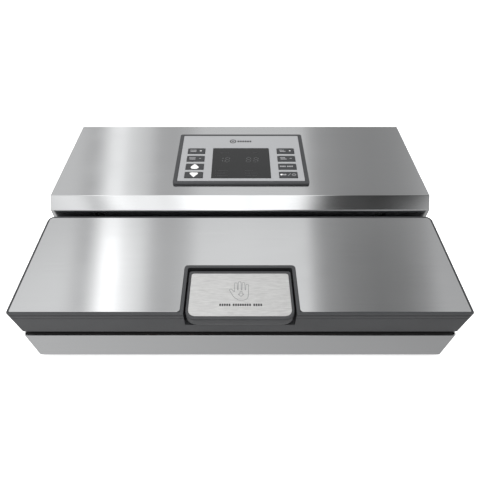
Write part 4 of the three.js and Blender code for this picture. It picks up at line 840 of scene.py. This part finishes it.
class SEALER_OT_panel(bpy.types.Operator):
    """The control panel: frame, overlay, display window and what is printed on them"""
    bl_idname = "sealer.panel"
    bl_label = "Control panel"

    def execute(self, context):
        edges = context.scene.sealer_edges
        soften(["panel_bezel"], edges.moulded, edges.steps)
        soften(["panel_plate", "display_window"], edges.plate, 2)
        middle, top = face_of("panel_plate")
        maker = [ribbon(arc((0, 0), 3.2), 1.2, True), filled(arc((0, 0), 1.1))] + wording([6], 6.5, 0, 3.2)
        printed("maker_mark", maker, middle + (-9.6, 31.0), top, "root", "panel_silver", "black_ink")
        glass, top = face_of("display_window")
        bars = range(7)
        numerals = []
        for lit, x in (((2, 5), -25.9), (bars, -18.4), (bars, 5.7), (bars, 14.2)):
            numerals += seven_segments(lit, x, *NUMERAL)
        printed("unlit_numerals", numerals, glass, top, "root", "smoked_window", "unlit_segment")
        legends = wording([6], -23, 18, 1.8) + wording([3], 15, 18, 1.8)
        first, pitch, height = LEGEND_ROWS
        for row, (left, right) in enumerate([((1, 8), (6,)), ((1, 6), (4, 5)), ((1, 8), (9,))]):
            y = first - pitch * row
            legends += wording(left, -28, y, height) + wording(right, 5, y, height)
        printed("unlit_legends", legends, glass, top, "root", "smoked_window", "unlit_legend")
        return {"FINISHED"}


class SEALER_OT_keys(bpy.types.Operator):
    """The eight keys and their legends"""
    bl_idname = "sealer.keys"
    bl_label = "Keys"

    def execute(self, context):
        edges = context.scene.sealer_edges
        for node, (bright, pale) in key_legends().items():
            soften([node], edges.key, edges.steps)
            middle, top = face_of(node)
            for kind, shapes, ink in (("symbol", bright, "white_ink"), ("wording", pale, "pale_ink")):
                if shapes:
                    printed(f"{node}_{kind}", shapes, middle, top, BODY_OF[node], "key_charcoal", ink)
        return {"FINISHED"}


class SEALER_OT_chamber(bpy.types.Operator):
    """The vacuum chamber: deck, lower gasket, seal bar with its release tape, tray and port"""
    bl_idname = "sealer.chamber"
    bl_label = "Chamber"

    def execute(self, context):
        edges = context.scene.sealer_edges
        soften(["deck", "drip_tray", "vacuum_port", "seal_bar"], edges.moulded, edges.steps)
        soften(["lower_gasket"], edges.foam, edges.steps)
        release_tape()
        return {"FINISHED"}


class SEALER_OT_rear(bpy.types.Operator):
    """What sits in the back panel: the inlet, the switch and the fan"""
    bl_idname = "sealer.rear"
    bl_label = "Back panel fittings"

    def execute(self, context):
        edges = context.scene.sealer_edges
        soften(["power_inlet", "switch_housing", "rocker", "fan_frame", "fan_rotor"],
               edges.plate, edges.steps)
        return {"FINISHED"}


class SEALER_OT_works(bpy.types.Operator):
    """The works inside: pump, transformer, boards, hose, hinges and latch"""
    bl_idname = "sealer.works"
    bl_label = "Works"

    def execute(self, context):
        edges = context.scene.sealer_edges
        soften(["vacuum_hose", "transformer_core", "transformer_coil", "pump_motor", "pump_crankcase",
                "pump_crank", "pump_head", "pump_bracket", "main_board", "panel_board"], edges.plate, 2)
        soften(["hinge_bracket_left", "hinge_bracket_right", "latch_hook_left", "latch_hook_right",
                "latch_keeper_left", "latch_keeper_right", "latch_link", "latch_shaft"], edges.plate, 2)
        paint(["handle_pin"])
        return {"FINISHED"}


class SEALER_OT_fixings(bpy.types.Operator):
    """The rubber feet and the screws"""
    bl_idname = "sealer.fixings"
    bl_label = "Feet and screws"

    def execute(self, context):
        for node in [node for node in frame["nodes"] if node.startswith("foot_")]:
            rubber_foot(node)
        low, high = [np.array(corner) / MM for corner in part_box("back_panel")]
        end, rise = BACK_SCREW
        back = [(x, high[1], z) for x in (low[0] + end, 0, high[0] - end)
                for z in (low[2] + rise, high[2] - rise)]
        screw_heads("back_panel_screws", back, (0, 1, 0), "root")
        low, high = [np.array(corner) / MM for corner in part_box("bottom_plate")]
        under = [(x, y, low[2]) for x in (low[0] + UNDER_SCREW, 0, high[0] - UNDER_SCREW)
                 for y in (low[1] + UNDER_SCREW, high[1] - UNDER_SCREW)]
        screw_heads("bottom_plate_screws", under, (0, 0, -1), "root")
        return {"FINISHED"}


class SEALER_OT_stage(bpy.types.Operator):
    """The light table, the light tent, the soft box above and the camera"""
    bl_idname = "sealer.stage"
    bl_label = "Stage"

    def execute(self, context):
        stage = context.scene.sealer_stage
        half = stage.floor_size / 2
        corners = [(-half, -half, 0), (half, -half, 0), (half, half, 0), (-half, half, 0)]
        floor = mesh_object("table_top", corners, [[0, 1, 2, 3]])
        low, high = CAD_BOX
        floor.location.z = low[2]
        floor.data.materials.append(light_table(
            stage.floor_tone, stage.floor_glow, stage.mirrored_left, stage.mirrored_right, high[0]))
        light_tent(stage.tent_light)
        box = bpy.data.lights.new("soft_box", "AREA")
        box.energy = stage.overhead_power
        box.size = SOFT_BOX
        lamp = bpy.data.objects.new("soft_box", box)
        lamp.location = (0, 0, SOFT_BOX)
        lamp.visible_glossy = False
        context.scene.collection.objects.link(lamp)
        lens = bpy.data.cameras.new("camera")
        lens.lens = stage.lens
        camera = bpy.data.objects.new("camera", lens)
        camera.location = (0, -stage.camera_back, stage.camera_height)
        camera.rotation_euler = (math.pi / 2 - stage.camera_down, 0, 0)
        context.scene.collection.objects.link(camera)
        context.scene.camera = camera
        context.scene.view_settings.view_transform = "Standard"
        return {"FINISHED"}


STEPS = [SEALER_OT_finishes, SEALER_OT_sheet_steel, SEALER_OT_lid, SEALER_OT_handle, SEALER_OT_panel,
         SEALER_OT_keys, SEALER_OT_chamber, SEALER_OT_rear, SEALER_OT_works, SEALER_OT_fixings,
         SEALER_OT_stage]


class SEALER_PT_dressing(bpy.types.Panel):
    """Lists the settings and the steps"""
    bl_idname = "SEALER_PT_dressing"
    bl_label = "Vacuum Sealer"
    bl_space_type = "VIEW_3D"
    bl_region_type = "UI"
    bl_category = "Sealer"

    def draw(self, context):
        for name, group in SETTINGS.items():
            settings = getattr(context.scene, name)
            for key in group.__annotations__:
                self.layout.prop(settings, key)
        for step in STEPS:
            self.layout.operator(step.bl_idname)


SETTINGS = {"sealer_stage": SealerStageSettings, "sealer_edges": SealerEdgeSettings,
            "sealer_finish": SealerFinishSettings}
CLASSES = [*SETTINGS.values(), *STEPS, SEALER_PT_dressing]


def register():
    """Registers the classes and hangs the settings on the scene."""
    for kind in CLASSES:
        bpy.utils.register_class(kind)
    for name, group in SETTINGS.items():
        setattr(bpy.types.Scene, name, PointerProperty(type=group))


def unregister():
    """Takes off what register put on, in reverse."""
    for name in SETTINGS:
        delattr(bpy.types.Scene, name)
    for kind in reversed(CLASSES):
        bpy.utils.unregister_class(kind)


def main():
    """Runs every step in order."""
    register()
    for step in STEPS:
        family, name = step.bl_idname.split(".")
        getattr(getattr(bpy.ops, family), name)()
    bpy.context.view_layer.update()


if __name__ == "__main__":
    main()
